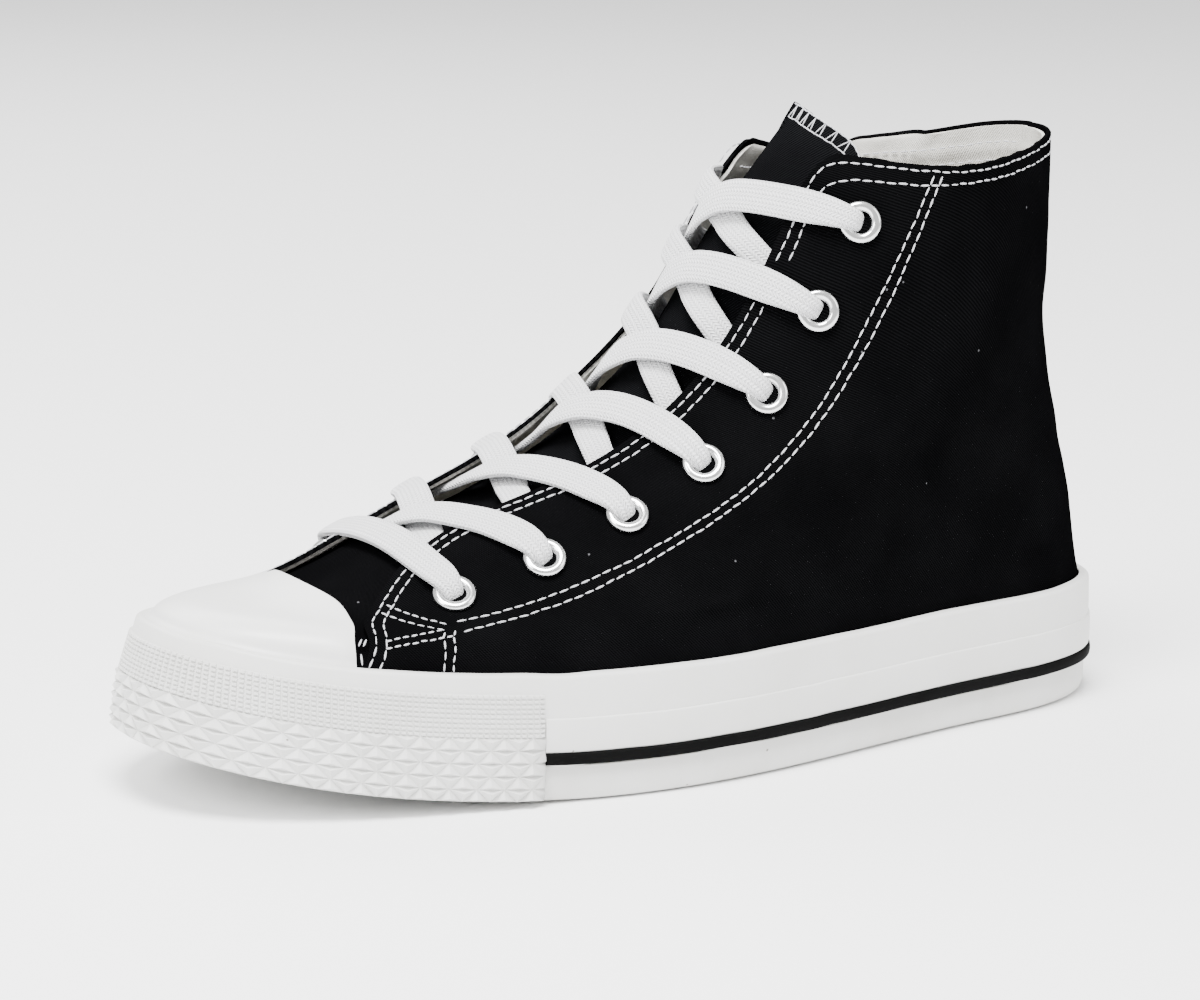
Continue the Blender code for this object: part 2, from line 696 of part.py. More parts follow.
def ribbon(bm, stops):
    """A flat cord through stops of (point, normal), closed at both ends."""
    count = len(stops)
    centres = np.array([tuple(point) for point, _ in stops])
    heading = np.gradient(centres, axis=0)
    ring = []
    half, thick = LACE_WIDTH / 2, LACE_THICKNESS / 2
    section = ((-half, 0.0), (-half * 0.8, thick), (half * 0.8, thick),
               (half, 0.0), (half * 0.8, -thick), (-half * 0.8, -thick))
    for k in range(count):
        ahead = Vector(heading[k]).normalized()
        normal = stops[k][1] - ahead * stops[k][1].dot(ahead)
        normal.normalize()
        wide = ahead.cross(normal)
        ring.append([bm.verts.new(stops[k][0] + wide * a + normal * b) for a, b in section])
    for here, there in zip(ring, ring[1:]):
        for i in range(len(section)):
            j = (i + 1) % len(section)
            bm.faces.new([here[i], here[j], there[j], there[i]])
    bm.faces.new(ring[0])
    bm.faces.new(ring[-1][::-1])


def over_skin(point, along):
    """Level and place of the skin square above a chord's point, along the instep."""
    low, high = 0.1, 1.1
    for _ in range(26):
        level = (low + high) / 2
        across = point[1] - skin(level, 0.0)[1]
        place = place_at_width(level, abs(across), 1 if across > 0 else -1)
        if (skin(level, place) - point) @ along < 0:
            low = level
        else:
            high = level
    return level, place


def strand_object(name, start, end, first, lifts):
    """A flat cord pulled over the instep between two eyelets, from a share of its way."""
    level = (start[0] + end[0]) / 2
    along = skin(level + 0.04, 0.0) - skin(level - 0.04, 0.0)
    along[1] = 0.0
    start, end = skin(*start), skin(*end)
    stops = []
    for share, lift in zip(np.linspace(first, 1, len(lifts)), lifts):
        point, normal = surface_frame(*over_skin(start + (end - start) * share, along))
        stops.append((point + normal * lift, normal))
    bm = bmesh.new()
    ribbon(bm, stops)
    bmesh.ops.recalc_face_normals(bm, faces=bm.faces)
    return new_object(name, bm, white_cord)


def make_laces():
    """One straight bar at the lowest eyelets and six crossings above it."""
    rest = EYELET_LIFT + EYELET_FLANGE + CORD_LIFT + LACE_THICKNESS / 2
    places = eyelet_places()
    level, lateral, medial = places[0]
    strand_object("lace_bar", (level, lateral), (level, medial), 0.0, (rest,) * 7)
    for i in range(EYELET_PAIRS - 1):
        level, *low = places[i]
        high_level, *high = places[i + 1]
        middle = (level + high_level) / 2
        start = -0.0004
        if middle < VAMP_END + 0.05:
            start = LACE_THICKNESS / 2 - QUARTER_STEP + CORD_LIFT
        strands = []
        for k, name in ((0, "lace_crossing_%d" % (i + 1)), (1, "under_strand_%d" % (i + 1))):
            reach = abs(skin(level, low[1 - k])[1] - skin(level, 0.0)[1])
            edge = abs(skin(middle, edge_place(middle, 2 * k - 1))[1] - skin(middle, 0.0)[1])
            first = (reach - edge) / reach / 2 + CORD_INSET
            cross = rest + 0.0002 if k == 0 else rest - LACE_THICKNESS + 0.0008
            lifts = (start, (start + cross) / 2, cross, (cross + rest) / 2, rest, rest, rest)
            ends = (level, low[1 - k]), (high_level, high[k])
            strands.append(strand_object(name, *ends, first, lifts))
        crossing, lower = strands
        join = crossing.modifiers.new("join", 'BOOLEAN')
        join.operation = 'UNION'
        join.object = lower
        make_cutter(lower)


# Materials and assembly

def principled(name, colour, roughness, metallic=0.0):
    material = bpy.data.materials.new(name)
    material.use_nodes = True
    shader = material.node_tree.nodes["Principled BSDF"]
    shader.inputs["Base Color"].default_value = (*colour, 1.0)
    shader.inputs["Roughness"].default_value = roughness
    shader.inputs["Metallic"].default_value = metallic
    return material


def centre_on_origin():
    """Move the frame so that the middle of the shoe's box is over the origin."""
    bpy.context.view_layer.update()
    depsgraph = bpy.context.evaluated_depsgraph_get()
    points = []
    for obj in model.objects:
        if obj.type == 'MESH':
            shape = obj.evaluated_get(depsgraph)
            points += [obj.matrix_world @ Vector(corner) for corner in shape.bound_box]
    low = [min(point[k] for point in points) for k in range(3)]
    high = [max(point[k] for point in points) for k in range(3)]
    frame.location = (-(low[0] + high[0]) / 2, -(low[1] + high[1]) / 2, -low[2])
    bpy.context.view_layer.update()


for old in list(bpy.data.objects):
    bpy.data.objects.remove(old, do_unlink=True)

model = bpy.data.collections.new("high_top_sneaker")
cutters = bpy.data.collections.new("cutters")
bpy.context.scene.collection.children.link(model)
bpy.context.scene.collection.children.link(cutters)
frame = bpy.data.objects.new("shoe_frame", None)
model.objects.link(frame)

white_rubber = principled("white_rubber", (0.80, 0.80, 0.78), 0.45)
black_rubber = principled("black_rubber", (0.012, 0.012, 0.013), 0.45)
black_canvas = principled("black_canvas", (0.010, 0.010, 0.011), 0.90)
insole_fabric = principled("insole_fabric", (0.72, 0.71, 0.66), 0.95)
aluminium = principled("aluminium", (0.80, 0.80, 0.80), 0.30, 1.0)
white_cord = principled("white_cord", (0.85, 0.85, 0.85), 0.85)

make_outsole()
make_foxing()
make_side_strips()
make_insole()
sneaker_upper = make_upper()
make_toe_cap()
make_heel_strip()
make_tongue()
make_eyelets(sneaker_upper)
make_laces()
centre_on_origin()
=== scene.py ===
"""High top sneaker dressed for the studio: canvas, rubber, thread, eyelets and laces.

Metres, +Z up, toe towards +X and the outer side towards +Y. Sizes are those of
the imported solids, and the shoe is worked out with the back of the heel at x = 0.
"""
import math

import bmesh
import bpy
import numpy as np
from mathutils import Matrix, Vector


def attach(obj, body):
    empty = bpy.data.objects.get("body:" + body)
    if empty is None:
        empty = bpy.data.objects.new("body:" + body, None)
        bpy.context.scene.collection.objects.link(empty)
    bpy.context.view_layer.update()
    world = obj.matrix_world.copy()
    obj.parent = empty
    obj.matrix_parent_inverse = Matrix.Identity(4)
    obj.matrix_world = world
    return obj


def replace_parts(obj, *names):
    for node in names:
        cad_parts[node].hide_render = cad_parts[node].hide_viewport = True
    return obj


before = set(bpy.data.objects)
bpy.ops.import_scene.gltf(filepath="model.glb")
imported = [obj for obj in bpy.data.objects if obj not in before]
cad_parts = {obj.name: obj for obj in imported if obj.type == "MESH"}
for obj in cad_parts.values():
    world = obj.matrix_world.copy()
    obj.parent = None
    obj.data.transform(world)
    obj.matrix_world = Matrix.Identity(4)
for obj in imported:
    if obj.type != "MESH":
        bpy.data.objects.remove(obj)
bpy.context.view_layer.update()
rng = np.random.default_rng(7)

# Sizes of the last and the sole
SHIFT = np.array([-0.1358528, -0.0007391, 0.0])
LENGTH = 0.272
BALL_WIDTH = 0.094
COLLAR_HEIGHT = 0.148
SOLE_HEIGHT = 0.0303
TOE_SPRING = 0.0153
TOE_THINNING = 0.0024
TOE_LEAN = 0.006
SPRING_START = 0.62
END_FULLNESS = 2.3
HEEL_TAPER = 0.97
TOE_TAPER = 0.80
CORNER_START = 0.945
CORNER_SETBACK = 0.0045
DIP_START = 0.72
LATERAL_DIP = 0.0051
MEDIAL_DIP = 0.0071
OUTSOLE_THICKNESS = 0.0086
WALL_RUBBER = 0.0027
CLEARANCE = 0.0003
TAPE_TOP = 0.0204
STRIPE_LOW = 0.0092
STRIPE_TOP = 0.0121
BUMPER_ZONES = 0.0160
BUMPER_TOP = 0.0265
BUMPER_END = 0.690
INSOLE_TOP = 0.0131
TONGUE_START = 0.30
TONGUE_TOP = 1.066
TONGUE_SLOPE = 0.055
TONGUE_PEAK = -0.35
TONGUE_CORNER = 0.035
EYELET_PAIRS = 7
LACE_WIDTH = 0.0084
LACE_CORD = 0.0021
LACE_ROWS = 110
LACE_SIDES = 22
EYELET_BORE = 0.0027
EYELET_RADIUS = 0.0052
UPPER_WALL = 0.0018
QUARTER_STEP = 0.0007
INSOLE_GAP = 0.0013
LACE_ROOM = 0.0034
WELD = 0.00001
BAND_SEED = 11
STITCH_JITTER = 0.00006

# Rings of the last, from the top of the sole (level 0) to the collar (level 1)
PROFILE_COLUMNS = ("level", "back_x", "back_z", "front_x", "front_z", "front_y", "spring", "lean")
PROFILE = (
    (0.00, 0.016, 0.000, 0.963, 0.000, -0.045, 1.0, 0.000),
    (0.11, 0.024, 0.070, 0.938, 0.066, -0.042, 0.6, 0.000),
    (0.25, 0.032, 0.157, 0.852, 0.118, -0.042, 0.3, 0.030),
    (0.39, 0.042, 0.265, 0.733, 0.234, -0.048, 0.1, 0.045),
    (0.55, 0.057, 0.401, 0.603, 0.357, -0.046, 0.0, 0.045),
    (0.70, 0.068, 0.570, 0.505, 0.553, -0.038, 0.0, 0.050),
    (0.86, 0.066, 0.786, 0.443, 0.761, -0.024, 0.0, 0.010),
    (1.00, 0.065, 0.979, 0.388, 0.982, -0.010, 0.0, -0.010),
)
WIDTH_COLUMNS = ("level", "heel_round", "toe_round",
                 "lat_heel", "lat_waist", "lat_ball", "lat_toe",
                 "med_heel", "med_waist", "med_ball", "med_toe")
WIDTHS = (
    (0.00, 0.170, 0.185, 0.323, 0.421, 0.500, 0.392, 0.315, 0.300, 0.408, 0.430),
    (0.11, 0.148, 0.224, 0.313, 0.409, 0.476, 0.392, 0.325, 0.317, 0.414, 0.370),
    (0.25, 0.134, 0.246, 0.308, 0.391, 0.449, 0.376, 0.326, 0.341, 0.400, 0.410),
    (0.39, 0.129, 0.246, 0.298, 0.376, 0.426, 0.376, 0.322, 0.353, 0.398, 0.410),
    (0.55, 0.125, 0.230, 0.283, 0.365, 0.404, 0.371, 0.312, 0.352, 0.389, 0.405),
    (0.70, 0.125, 0.213, 0.263, 0.350, 0.381, 0.364, 0.299, 0.351, 0.383, 0.330),
    (0.86, 0.128, 0.186, 0.266, 0.333, 0.368, 0.369, 0.286, 0.350, 0.373, 0.310),
    (1.00, 0.142, 0.182, 0.252, 0.312, 0.369, 0.359, 0.255, 0.359, 0.374, 0.279),
)
STATIONS = (0.0, 0.14, 0.36, 0.60, 0.82, 1.0)

# Edge of each quarter: distance from the middle of the instep over the ball width.
# The lowest lateral rows follow the photograph, up to about 3 mm off the solid's edge.
EDGE_COLUMNS = ("level", "lateral", "medial")
QUARTER_EDGE = (
    (0.00, 0.366, 0.350),
    (0.10, 0.342, 0.290),
    (0.15, 0.309, 0.252),
    (0.20, 0.264, 0.210),
    (0.27, 0.202, 0.152),
    (0.33, 0.151, 0.128),
    (0.40, 0.121, 0.127),
    (0.50, 0.147, 0.150),
    (0.62, 0.202, 0.192),
    (0.72, 0.219, 0.208),
    (0.85, 0.223, 0.210),
    (1.00, 0.205, 0.185),
)
EYELET_LINE_COLUMNS = ("level", "share")
EYELET_LINE = (
    (0.287, 0.893),
    (0.355, 0.856),
    (0.470, 0.829),
    (0.660, 0.797),
    (0.914, 0.773),
)


def natural_spline(knots, rows, places):
    """Natural cubic through the rows at their knots, straight beyond both ends."""
    x = np.asarray(knots, float)
    y = np.asarray(rows, float)
    step = np.diff(x)
    system = np.eye(len(x))
    right = np.zeros_like(y)
    for i in range(1, len(x) - 1):
        system[i, i - 1:i + 2] = step[i - 1], 2 * (step[i - 1] + step[i]), step[i]
        right[i] = 6 * ((y[i + 1] - y[i]) / step[i] - (y[i] - y[i - 1]) / step[i - 1])
    bend = np.linalg.solve(system, right)
    t = np.atleast_1d(np.asarray(places, float))
    k = np.clip(np.searchsorted(x, t) - 1, 0, len(x) - 2)
    inside = np.clip(t, x[0], x[-1])
    h = step[k][:, None]
    u = (x[k + 1] - inside)[:, None] / h
    w = 1 - u
    value = u * y[k] + w * y[k + 1]
    value += ((u ** 3 - u) * bend[k] + (w ** 3 - w) * bend[k + 1]) * h ** 2 / 6
    slope = (y[k + 1] - y[k]) / h
    slope += (-(3 * u ** 2 - 1) * bend[k] + (3 * w ** 2 - 1) * bend[k + 1]) * h / 6
    return value + slope * (t - inside)[:, None]


def table(rows, columns, places):
    """A table read at places along its first column, as a dict of its other columns."""
    values = natural_spline([row[0] for row in rows], [row[1:] for row in rows], places)
    return dict(zip(columns[1:], values.T))


def end_round(distance, reach):
    """Rounded end of a ring: 0 at its tip, 1 from reach on."""
    gap = 1 - np.clip(distance / reach, 0, 1)
    return (1 - gap ** END_FULLNESS) ** (1 / END_FULLNESS)


def toe_rise(x):
    """0 where the sole is flat, 1 at the tip of the toe."""
    return np.clip((x / LENGTH - SPRING_START) / (1 - SPRING_START), 0, None) ** 2


def sole_z(x, height):
    """Height above the floor of a line that runs along the sole."""
    rise = toe_rise(x)
    return height * (1 - TOE_THINNING / SOLE_HEIGHT * rise) + TOE_SPRING * rise


def skin(level, place):
    """Outer face of the quarters: place 0 on the instep, +1 and -1 at the heel."""
    level, place = np.broadcast_arrays(np.asarray(level, float), np.asarray(place, float))
    flat_level = level.ravel()
    side = np.where(place.ravel() < 0, -1.0, 1.0)
    share = 1 - np.abs(place.ravel())
    ring = table(PROFILE, PROFILE_COLUMNS, flat_level)
    wide = table(WIDTHS, WIDTH_COLUMNS, flat_level)
    four = [np.where(side > 0, wide["lat_" + name], wide["med_" + name])
            for name in ("heel", "waist", "ball", "toe")]
    full = np.column_stack([four[0] * HEEL_TAPER, *four, four[3] * TOE_TAPER]) * BALL_WIDTH
    half = (natural_spline(STATIONS, np.eye(len(STATIONS)), share) * full).sum(1)
    back_x = ring["back_x"] * LENGTH
    run = ring["front_x"] * LENGTH - back_x
    half = half * end_round(share * run, wide["heel_round"] * LENGTH)
    half = half * end_round((1 - share) * run, wide["toe_round"] * LENGTH)
    x = back_x + share * run
    middle = ring["front_y"] * BALL_WIDTH * np.clip((share - 0.35) / 0.65, 0, 1) ** 1.5
    y = middle + side * half
    spring = np.clip(ring["spring"], 0, 1) * (sole_z(x, SOLE_HEIGHT) - SOLE_HEIGHT)
    rise = ring["back_z"] + (ring["front_z"] - ring["back_z"]) * share
    z = SOLE_HEIGHT + spring + (COLLAR_HEIGHT - SOLE_HEIGHT) * rise
    z = z - ring["lean"] * (y - middle) * np.clip((share - 0.2) / 0.5, 0, 1)
    top = np.clip((flat_level - DIP_START) / (1 - DIP_START), 0, 1) ** 2
    dip = np.where(side > 0, LATERAL_DIP, MEDIAL_DIP)
    z = z - dip * np.sin(np.pi * np.clip(share, 0, 1)) * top
    return np.stack([x, y, z], -1).reshape(level.shape + (3,)) + SHIFT


def unit(rows):
    """Rows of numbers brought to a length of 1."""
    return rows / np.maximum(np.linalg.norm(rows, axis=-1, keepdims=True), 1e-12)


def run_length(points):
    """Length along a line up to each of its points."""
    return np.concatenate([[0], np.cumsum(np.linalg.norm(np.diff(points, axis=0), axis=1))])


def skin_frame(level, place, step=0.003):
    """Points of the skin with outward normals and the way up, for arrays of places."""
    level, place = np.broadcast_arrays(np.asarray(level, float), np.asarray(place, float))
    here = skin(level, place)
    up = skin(level + step, place) - skin(level - step, place)
    ahead = np.where(np.abs(place) > 0.985, 0.012, step)
    side = np.where(place < 0, -1.0, 1.0)
    past = np.abs(place) + ahead > 1
    far = np.where(past, side * (np.abs(place) - 2 * ahead), place + side * ahead)
    near = np.where(past, place, place - side * ahead)
    along = (skin(level, far) - skin(level, near)) * (np.where(past, -1, 1) * side)[..., None]
    along[np.abs(place) > 0.9985] = (0.0, -1.0, 0.0)
    normal = unit(np.cross(up, along))
    heart = skin(level, 1.0) * 0.5 + skin(level, 0.0) * 0.5 - [0, 0, 0.02]
    normal[((here - heart) * normal).sum(-1) < 0] *= -1
    return here, normal, unit(up)


def skin_normals(level, place):
    """Points of the skin with outward normals."""
    return skin_frame(level, place)[:2]


def place_at_width(level, width, side):
    """Places near the instep at sideways distances from its middle."""
    level, width = np.broadcast_arrays(np.asarray(level, float), np.asarray(width, float))
    low, high = np.zeros(level.shape), np.full(level.shape, 0.5)
    middle = skin(level, 0.0)[..., 1]
    for _ in range(30):
        half = (low + high) / 2
        inside = np.abs(skin(level, side * half)[..., 1] - middle) < width
        low, high = np.where(inside, half, low), np.where(inside, high, half)
    return side * low


def place_at_back(level, width, side):
    """Places near the heel at sideways distances from its back."""
    level, width = np.broadcast_arrays(np.asarray(level, float), np.asarray(width, float))
    low, high = np.full(level.shape, 0.86), np.ones(level.shape)
    for _ in range(30):
        half = (low + high) / 2
        outside = np.abs(skin(level, side * half)[..., 1] - SHIFT[1]) > width
        low, high = np.where(outside, half, low), np.where(outside, high, half)
    return side * high


def edge_width(level, side):
    """Sideways distance of a quarter's edge from the middle of the instep."""
    level = np.asarray(level, float)
    edge = table(QUARTER_EDGE, EDGE_COLUMNS, level.ravel())["lateral" if side > 0 else "medial"]
    over = np.clip((level - CORNER_START) / (1 - CORNER_START), 0, 1)
    return edge.reshape(level.shape) * BALL_WIDTH + CORNER_SETBACK * (1 - np.sqrt(1 - over ** 2))


def edge_place(level, side):
    """Places of a quarter's edge."""
    return place_at_width(level, edge_width(level, side), side)


def base_loop():
    """Fine loop of the last at the sole's top, from the heel by the lateral side."""
    half = (1 - np.cos(np.linspace(0, np.pi, 721))) / 2
    lateral = skin(0.0, 1 - half)[:, :2]
    medial = skin(0.0, half - 1)[:, :2]
    loop = np.concatenate([lateral, medial[::-1][1:-1]])
    tangent = unit(np.roll(loop, -1, axis=0) - np.roll(loop, 1, axis=0))
    outward = np.column_stack([-tangent[:, 1], tangent[:, 0]])
    closed = np.concatenate([loop, loop[:1]])
    length = run_length(closed)
    middle = length[len(loop) // 2]
    share = np.where(length < middle, length / middle / 2,
                     0.5 + (length - middle) / (length[-1] - middle) / 2)
    return closed, np.concatenate([outward, outward[:1]]), share, length[-1]


LOOP, LOOP_OUT, LOOP_SHARE, GIRTH = base_loop()


def sole_point(offset, height, turn):
    """Points around the sole's wall, from arrays of offsets, heights and turns."""
    offset, height, turn = np.broadcast_arrays(offset, height, turn)
    at = turn % 1.0
    x, y = (np.interp(at, LOOP_SHARE, LOOP[:, k]) for k in (0, 1))
    out_x, out_y = (np.interp(at, LOOP_SHARE, LOOP_OUT[:, k]) for k in (0, 1))
    flare = TOE_LEAN * toe_rise(x - SHIFT[0]) * (1 - (height / SOLE_HEIGHT) ** 1.5)
    x = x + out_x * (offset + flare)
    y = y + out_y * (offset + flare)
    return np.stack([x, y, sole_z(x - SHIFT[0], height)], -1)


def smooth_noise(shape, cells, seed):
    """Soft random waves over a grid of the given shape, about -1 to 1."""
    spots = np.random.default_rng(seed).normal(size=(cells[0] + 3, cells[1] + 3))
    out = []
    for n, c in zip(shape, cells):
        t = np.linspace(0, c, n)
        k = np.minimum(t.astype(int), c - 1)
        f = t - k
        f = f * f * (3 - 2 * f)
        out.append((k + 1, f))
    (i, a), (j, b) = out
    a, b = a[:, None], b[None, :]
    return ((1 - a) * (1 - b) * spots[i][:, j] + a * (1 - b) * spots[i + 1][:, j]
            + (1 - a) * b * spots[i][:, j + 1] + a * b * spots[i + 1][:, j + 1])


# Materials

DUST = (0.16, 0.16, 0.17)
DIRT = (0.10, 0.085, 0.07)


class Paint:
    """A Principled material and the nodes wired into it."""

    def __init__(self, name, colour, roughness, metallic=0.0):
        self.material = bpy.data.materials.new(name)
        self.material.use_nodes = True
        self.tree = self.material.node_tree
        self.shader = self.tree.nodes["Principled BSDF"]
        self.wear(Base_Color=(*colour, 1.0), Roughness=roughness, Metallic=metallic)
        self.place = self.node("TexCoord").outputs["Object"]

    def plug(self, made, words):
        """Settings start in lower case; sockets go by label, or by number as in _0."""
        for key, value in words.items():
            if key[0].islower():
                setattr(made, key, value)
                continue
            socket = made.inputs[int(key[1:]) if key[1:].isdigit() else key.replace("_", " ")]
            if isinstance(value, bpy.types.NodeSocket):
                self.tree.links.new(value, socket)
            else:
                socket.default_value = value

    def wear(self, **words):
        """Set or link sockets of the shader itself."""
        self.plug(self.shader, words)

    def node(self, kind, **words):
        made = self.tree.nodes.new("ShaderNode" + kind)
        self.plug(made, words)
        return made

    def maths(self, operation, *values):
        """A Math node's result over sockets and numbers."""
        words = {"_%d" % k: value for k, value in enumerate(values)}
        return self.node("Math", operation=operation, **words).outputs[0]

    def times(self, value, factor):
        return self.maths('MULTIPLY', value, factor)

    def times_plus(self, value, factor, more):
        return self.maths('MULTIPLY_ADD', value, factor, more)

    def wave(self, value, length):
        return self.maths('SINE', self.times(value, 2 * math.pi / length))

    def ramp(self, value, low, high):
        """A number brought from low..high to 0..1, held at both ends."""
        return self.node("MapRange", clamp=True, _0=value, _1=low, _2=high).outputs[0]

    def mix(self, factor, low, high):
        low, high = (value if isinstance(value, bpy.types.NodeSocket) else (*value, 1.0)
                     for value in (low, high))
        return self.node("Mix", data_type='RGBA', _0=factor, _6=low, _7=high).outputs[2]

    def noise(self, scale, detail=3.0, roughness=0.5):
        return self.node("TexNoise", Vector=self.place, Scale=scale, Detail=detail,
                         Roughness=roughness).outputs[0]

    def specks(self, scale, size, share):
        """1 in small spots around a share of scattered points, 0 elsewhere."""
        cells = self.node("TexVoronoi", Vector=self.place, Scale=scale, Randomness=1.0)
        near = self.maths('LESS_THAN', cells.outputs["Distance"], size)
        number = self.node("SeparateColor", _0=cells.outputs["Color"]).outputs[0]
        return self.times(near, self.maths('GREATER_THAN', number, 1 - share))

    def cloth(self):
        """The piece's own cloth map, in metres: across and along."""
        uv = self.node("UVMap", uv_map="cloth").outputs[0]
        return self.node("SeparateXYZ", _0=uv).outputs[:2]

    def bump(self, height, distance, strength=1.0):
        made = self.node("Bump", Strength=strength, Distance=distance, Height=height)
        self.wear(Normal=made.outputs[0])


def canvas(name, dark, light, pitch, lint):
    """Twill: raised diagonal ribs crossed by single threads, with lint on it. The ribs are painted
    lighter and the hollows between them darker: painted highlight and shade.
    """
    paint = Paint(name, dark, 0.95)
    across, along = paint.cloth()
    rib = paint.wave(paint.times_plus(along, 0.62, across), pitch)
    single = paint.wave(paint.times_plus(across, -0.15, along), pitch * 0.62)
    weave = paint.times_plus(single, 0.35, rib)
    weave = paint.times_plus(paint.noise(2600.0, 2.0), 1.1, weave)
    cloud = paint.ramp(paint.noise(55.0), 0.35, 0.75)
    # Painted highlight on the ribs and painted shade between them, times a random cloud of tone
    rib_shade_and_cloud = paint.times(paint.ramp(weave, -0.6, 2.0), paint.times_plus(cloud, 0.5, 0.6))
    colour = paint.mix(rib_shade_and_cloud, dark, light)
    if lint:
        colour = paint.mix(paint.times(paint.specks(430.0, 0.13, lint), 0.5), colour, DUST)
    paint.wear(Base_Color=colour, Specular_IOR_Level=0.0)
    paint.bump(weave, 0.00006, 0.9)
    return paint.material


def rubber(name, clean, worn, roughness, dirt=0.5, grain=0.00002, gloss=0.4):
    """Vulcanised rubber: a faint mottle, a fine grain and a few specks of dirt."""
    paint = Paint(name, clean, roughness)
    mottle = paint.ramp(paint.noise(38.0, 5.0, 0.6), 0.40, 0.80)
    colour = paint.mix(paint.times(mottle, 0.8), clean, worn)
    specks = paint.specks(260.0, paint.times(paint.noise(1900.0, 1.0), 0.16), 0.05 * dirt)
    colour = paint.mix(paint.times(specks, 0.75), colour, DIRT)
    haze = paint.ramp(paint.noise(90.0), 0.2, 0.8)
    rough = paint.times_plus(haze, 0.12, roughness - 0.05)
    paint.wear(Base_Color=colour, Roughness=rough, Specular_IOR_Level=gloss)
    paint.bump(paint.times_plus(paint.noise(140.0, 2.0), 5.0, paint.noise(2400.0, 2.0)), grain)
    return paint.material


def knit(name, colour, shade):
    """Braided cord: rows of small slanted stitches that meet in chevrons."""
    paint = Paint(name, colour, 0.88)
    across, along = paint.cloth()
    column, stitch_length = 0.00105, 0.00095
    zig = paint.maths('PINGPONG', across, column)
    stitch = paint.wave(paint.times_plus(zig, 0.9, along), stitch_length)
    rows = paint.maths('ABSOLUTE', paint.wave(across, 2 * column))
    height = paint.times_plus(rows, 0.7, paint.noise(3200.0, 3.0, 0.7))
    height = paint.times_plus(stitch, 0.5, height)
    paint.wear(Base_Color=paint.mix(paint.ramp(height, -0.1, 1.6), shade, colour),
               Specular_IOR_Level=0.15, Sheen_Weight=0.25, Sheen_Roughness=0.5)
    paint.bump(height, 0.00022)
    return paint.material


def thread(name, colour, shade):
    """Sewing thread: a fine twist along a stitch."""
    paint = Paint(name, colour, 0.65)
    twist = paint.node("TexWave", Vector=paint.place, Scale=900.0, Distortion=3.0).outputs[1]
    paint.wear(Base_Color=paint.mix(twist, shade, colour))
    paint.bump(twist, 0.00003, 0.8)
    return paint.material


def metal(name, colour, roughness):
    """Stamped aluminium: faint drawing marks and a little haze."""
    paint = Paint(name, colour, roughness, 1.0)
    marks = paint.noise(700.0)
    dull = tuple(c * 0.86 for c in colour)
    paint.wear(Base_Color=paint.mix(marks, dull, colour),
               Roughness=paint.times_plus(marks, 0.18, roughness - 0.06))
    paint.bump(marks, 0.000015, 0.7)
    return paint.material


black_twill = canvas("black_twill", (0.0008, 0.0008, 0.0009), (0.0048, 0.0048, 0.0053),
                     0.00078, 0.02)
tongue_twill = canvas("tongue_twill", (0.0012, 0.0012, 0.0014), (0.0085, 0.0087, 0.0096),
                      0.00078, 0.02)
lining_cotton = canvas("lining_cotton", (0.50, 0.485, 0.44), (0.80, 0.785, 0.74), 0.00062, 0.0)
white_rubber = rubber("white_rubber_skin", (0.68, 0.68, 0.665), (0.62, 0.615, 0.59), 0.42)
bumper_rubber = rubber("bumper_rubber_skin", (0.66, 0.66, 0.645), (0.56, 0.555, 0.53), 0.46,
                       dirt=1.2)
cap_rubber = rubber("cap_rubber_skin", (0.72, 0.72, 0.71), (0.69, 0.69, 0.67), 0.34,
                    dirt=0.3, grain=0.00001)
stripe_rubber = rubber("stripe_rubber_skin", (0.0025, 0.0025, 0.0025), (0.004, 0.004, 0.004),
                       0.7, dirt=0.0, gloss=0.03)
tread_rubber = rubber("tread_rubber_skin", (0.64, 0.64, 0.625), (0.52, 0.51, 0.48), 0.55,
                      dirt=1.6)
lace_knit = knit("lace_knit", (0.84, 0.84, 0.85), (0.46, 0.46, 0.47))
seam_thread = thread("seam_thread", (0.62, 0.62, 0.64), (0.34, 0.34, 0.36))
eyelet_metal = metal("eyelet_metal", (0.86, 0.865, 0.86), 0.16)
insole_cloth = canvas("insole_cloth", (0.42, 0.40, 0.36), (0.72, 0.70, 0.65), 0.0008, 0.0)


# Shapes

HEART = np.array([-0.02, 0.0, 0.045])


def finish_piece(obj, material, nodes=()):
    """Give a piece its material and body, and hide the solids that it replaces."""
    obj.data.materials.append(material)
    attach(obj, "root")
    if nodes:
        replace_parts(obj, *nodes)
    return obj


def vectors(mesh, kind="co"):
    """Places or normals of a mesh's vertices, as rows of three."""
    rows = np.empty(len(mesh.vertices) * 3)
    mesh.vertices.foreach_get(kind, rows)
    return rows.reshape(-1, 3)


def grid_of(columns, rows, size=1.0):
    """A flat grid of cells, ready for editing."""
    bm = bmesh.new()
    bmesh.ops.create_grid(bm, x_segments=columns, y_segments=rows, size=size)
    return bm


def editing(mesh):
    """A mesh's faces, ready for editing."""
    bm = bmesh.new()
    bm.from_mesh(mesh)
    return bm


def written(bm, mesh):
    """The mesh, or a new one of that name, with the edited faces written to it."""
    if isinstance(mesh, str):
        mesh = bpy.data.meshes.new(mesh)
    bm.to_mesh(mesh)
    bm.free()
    return mesh


def cloth_map(points):
    """Distances over a grid of points, across and along it, in metres."""
    across = np.linalg.norm(np.diff(points, axis=1), axis=-1)
    u = np.concatenate([np.zeros((len(points), 1)), np.cumsum(across, axis=1)], axis=1)
    u -= u[:, [points.shape[1] // 2]]
    along = np.linalg.norm(np.diff(points, axis=0), axis=-1)
    v = np.concatenate([np.zeros((1, points.shape[1])), np.cumsum(along, axis=0)], axis=0)
    return u, v


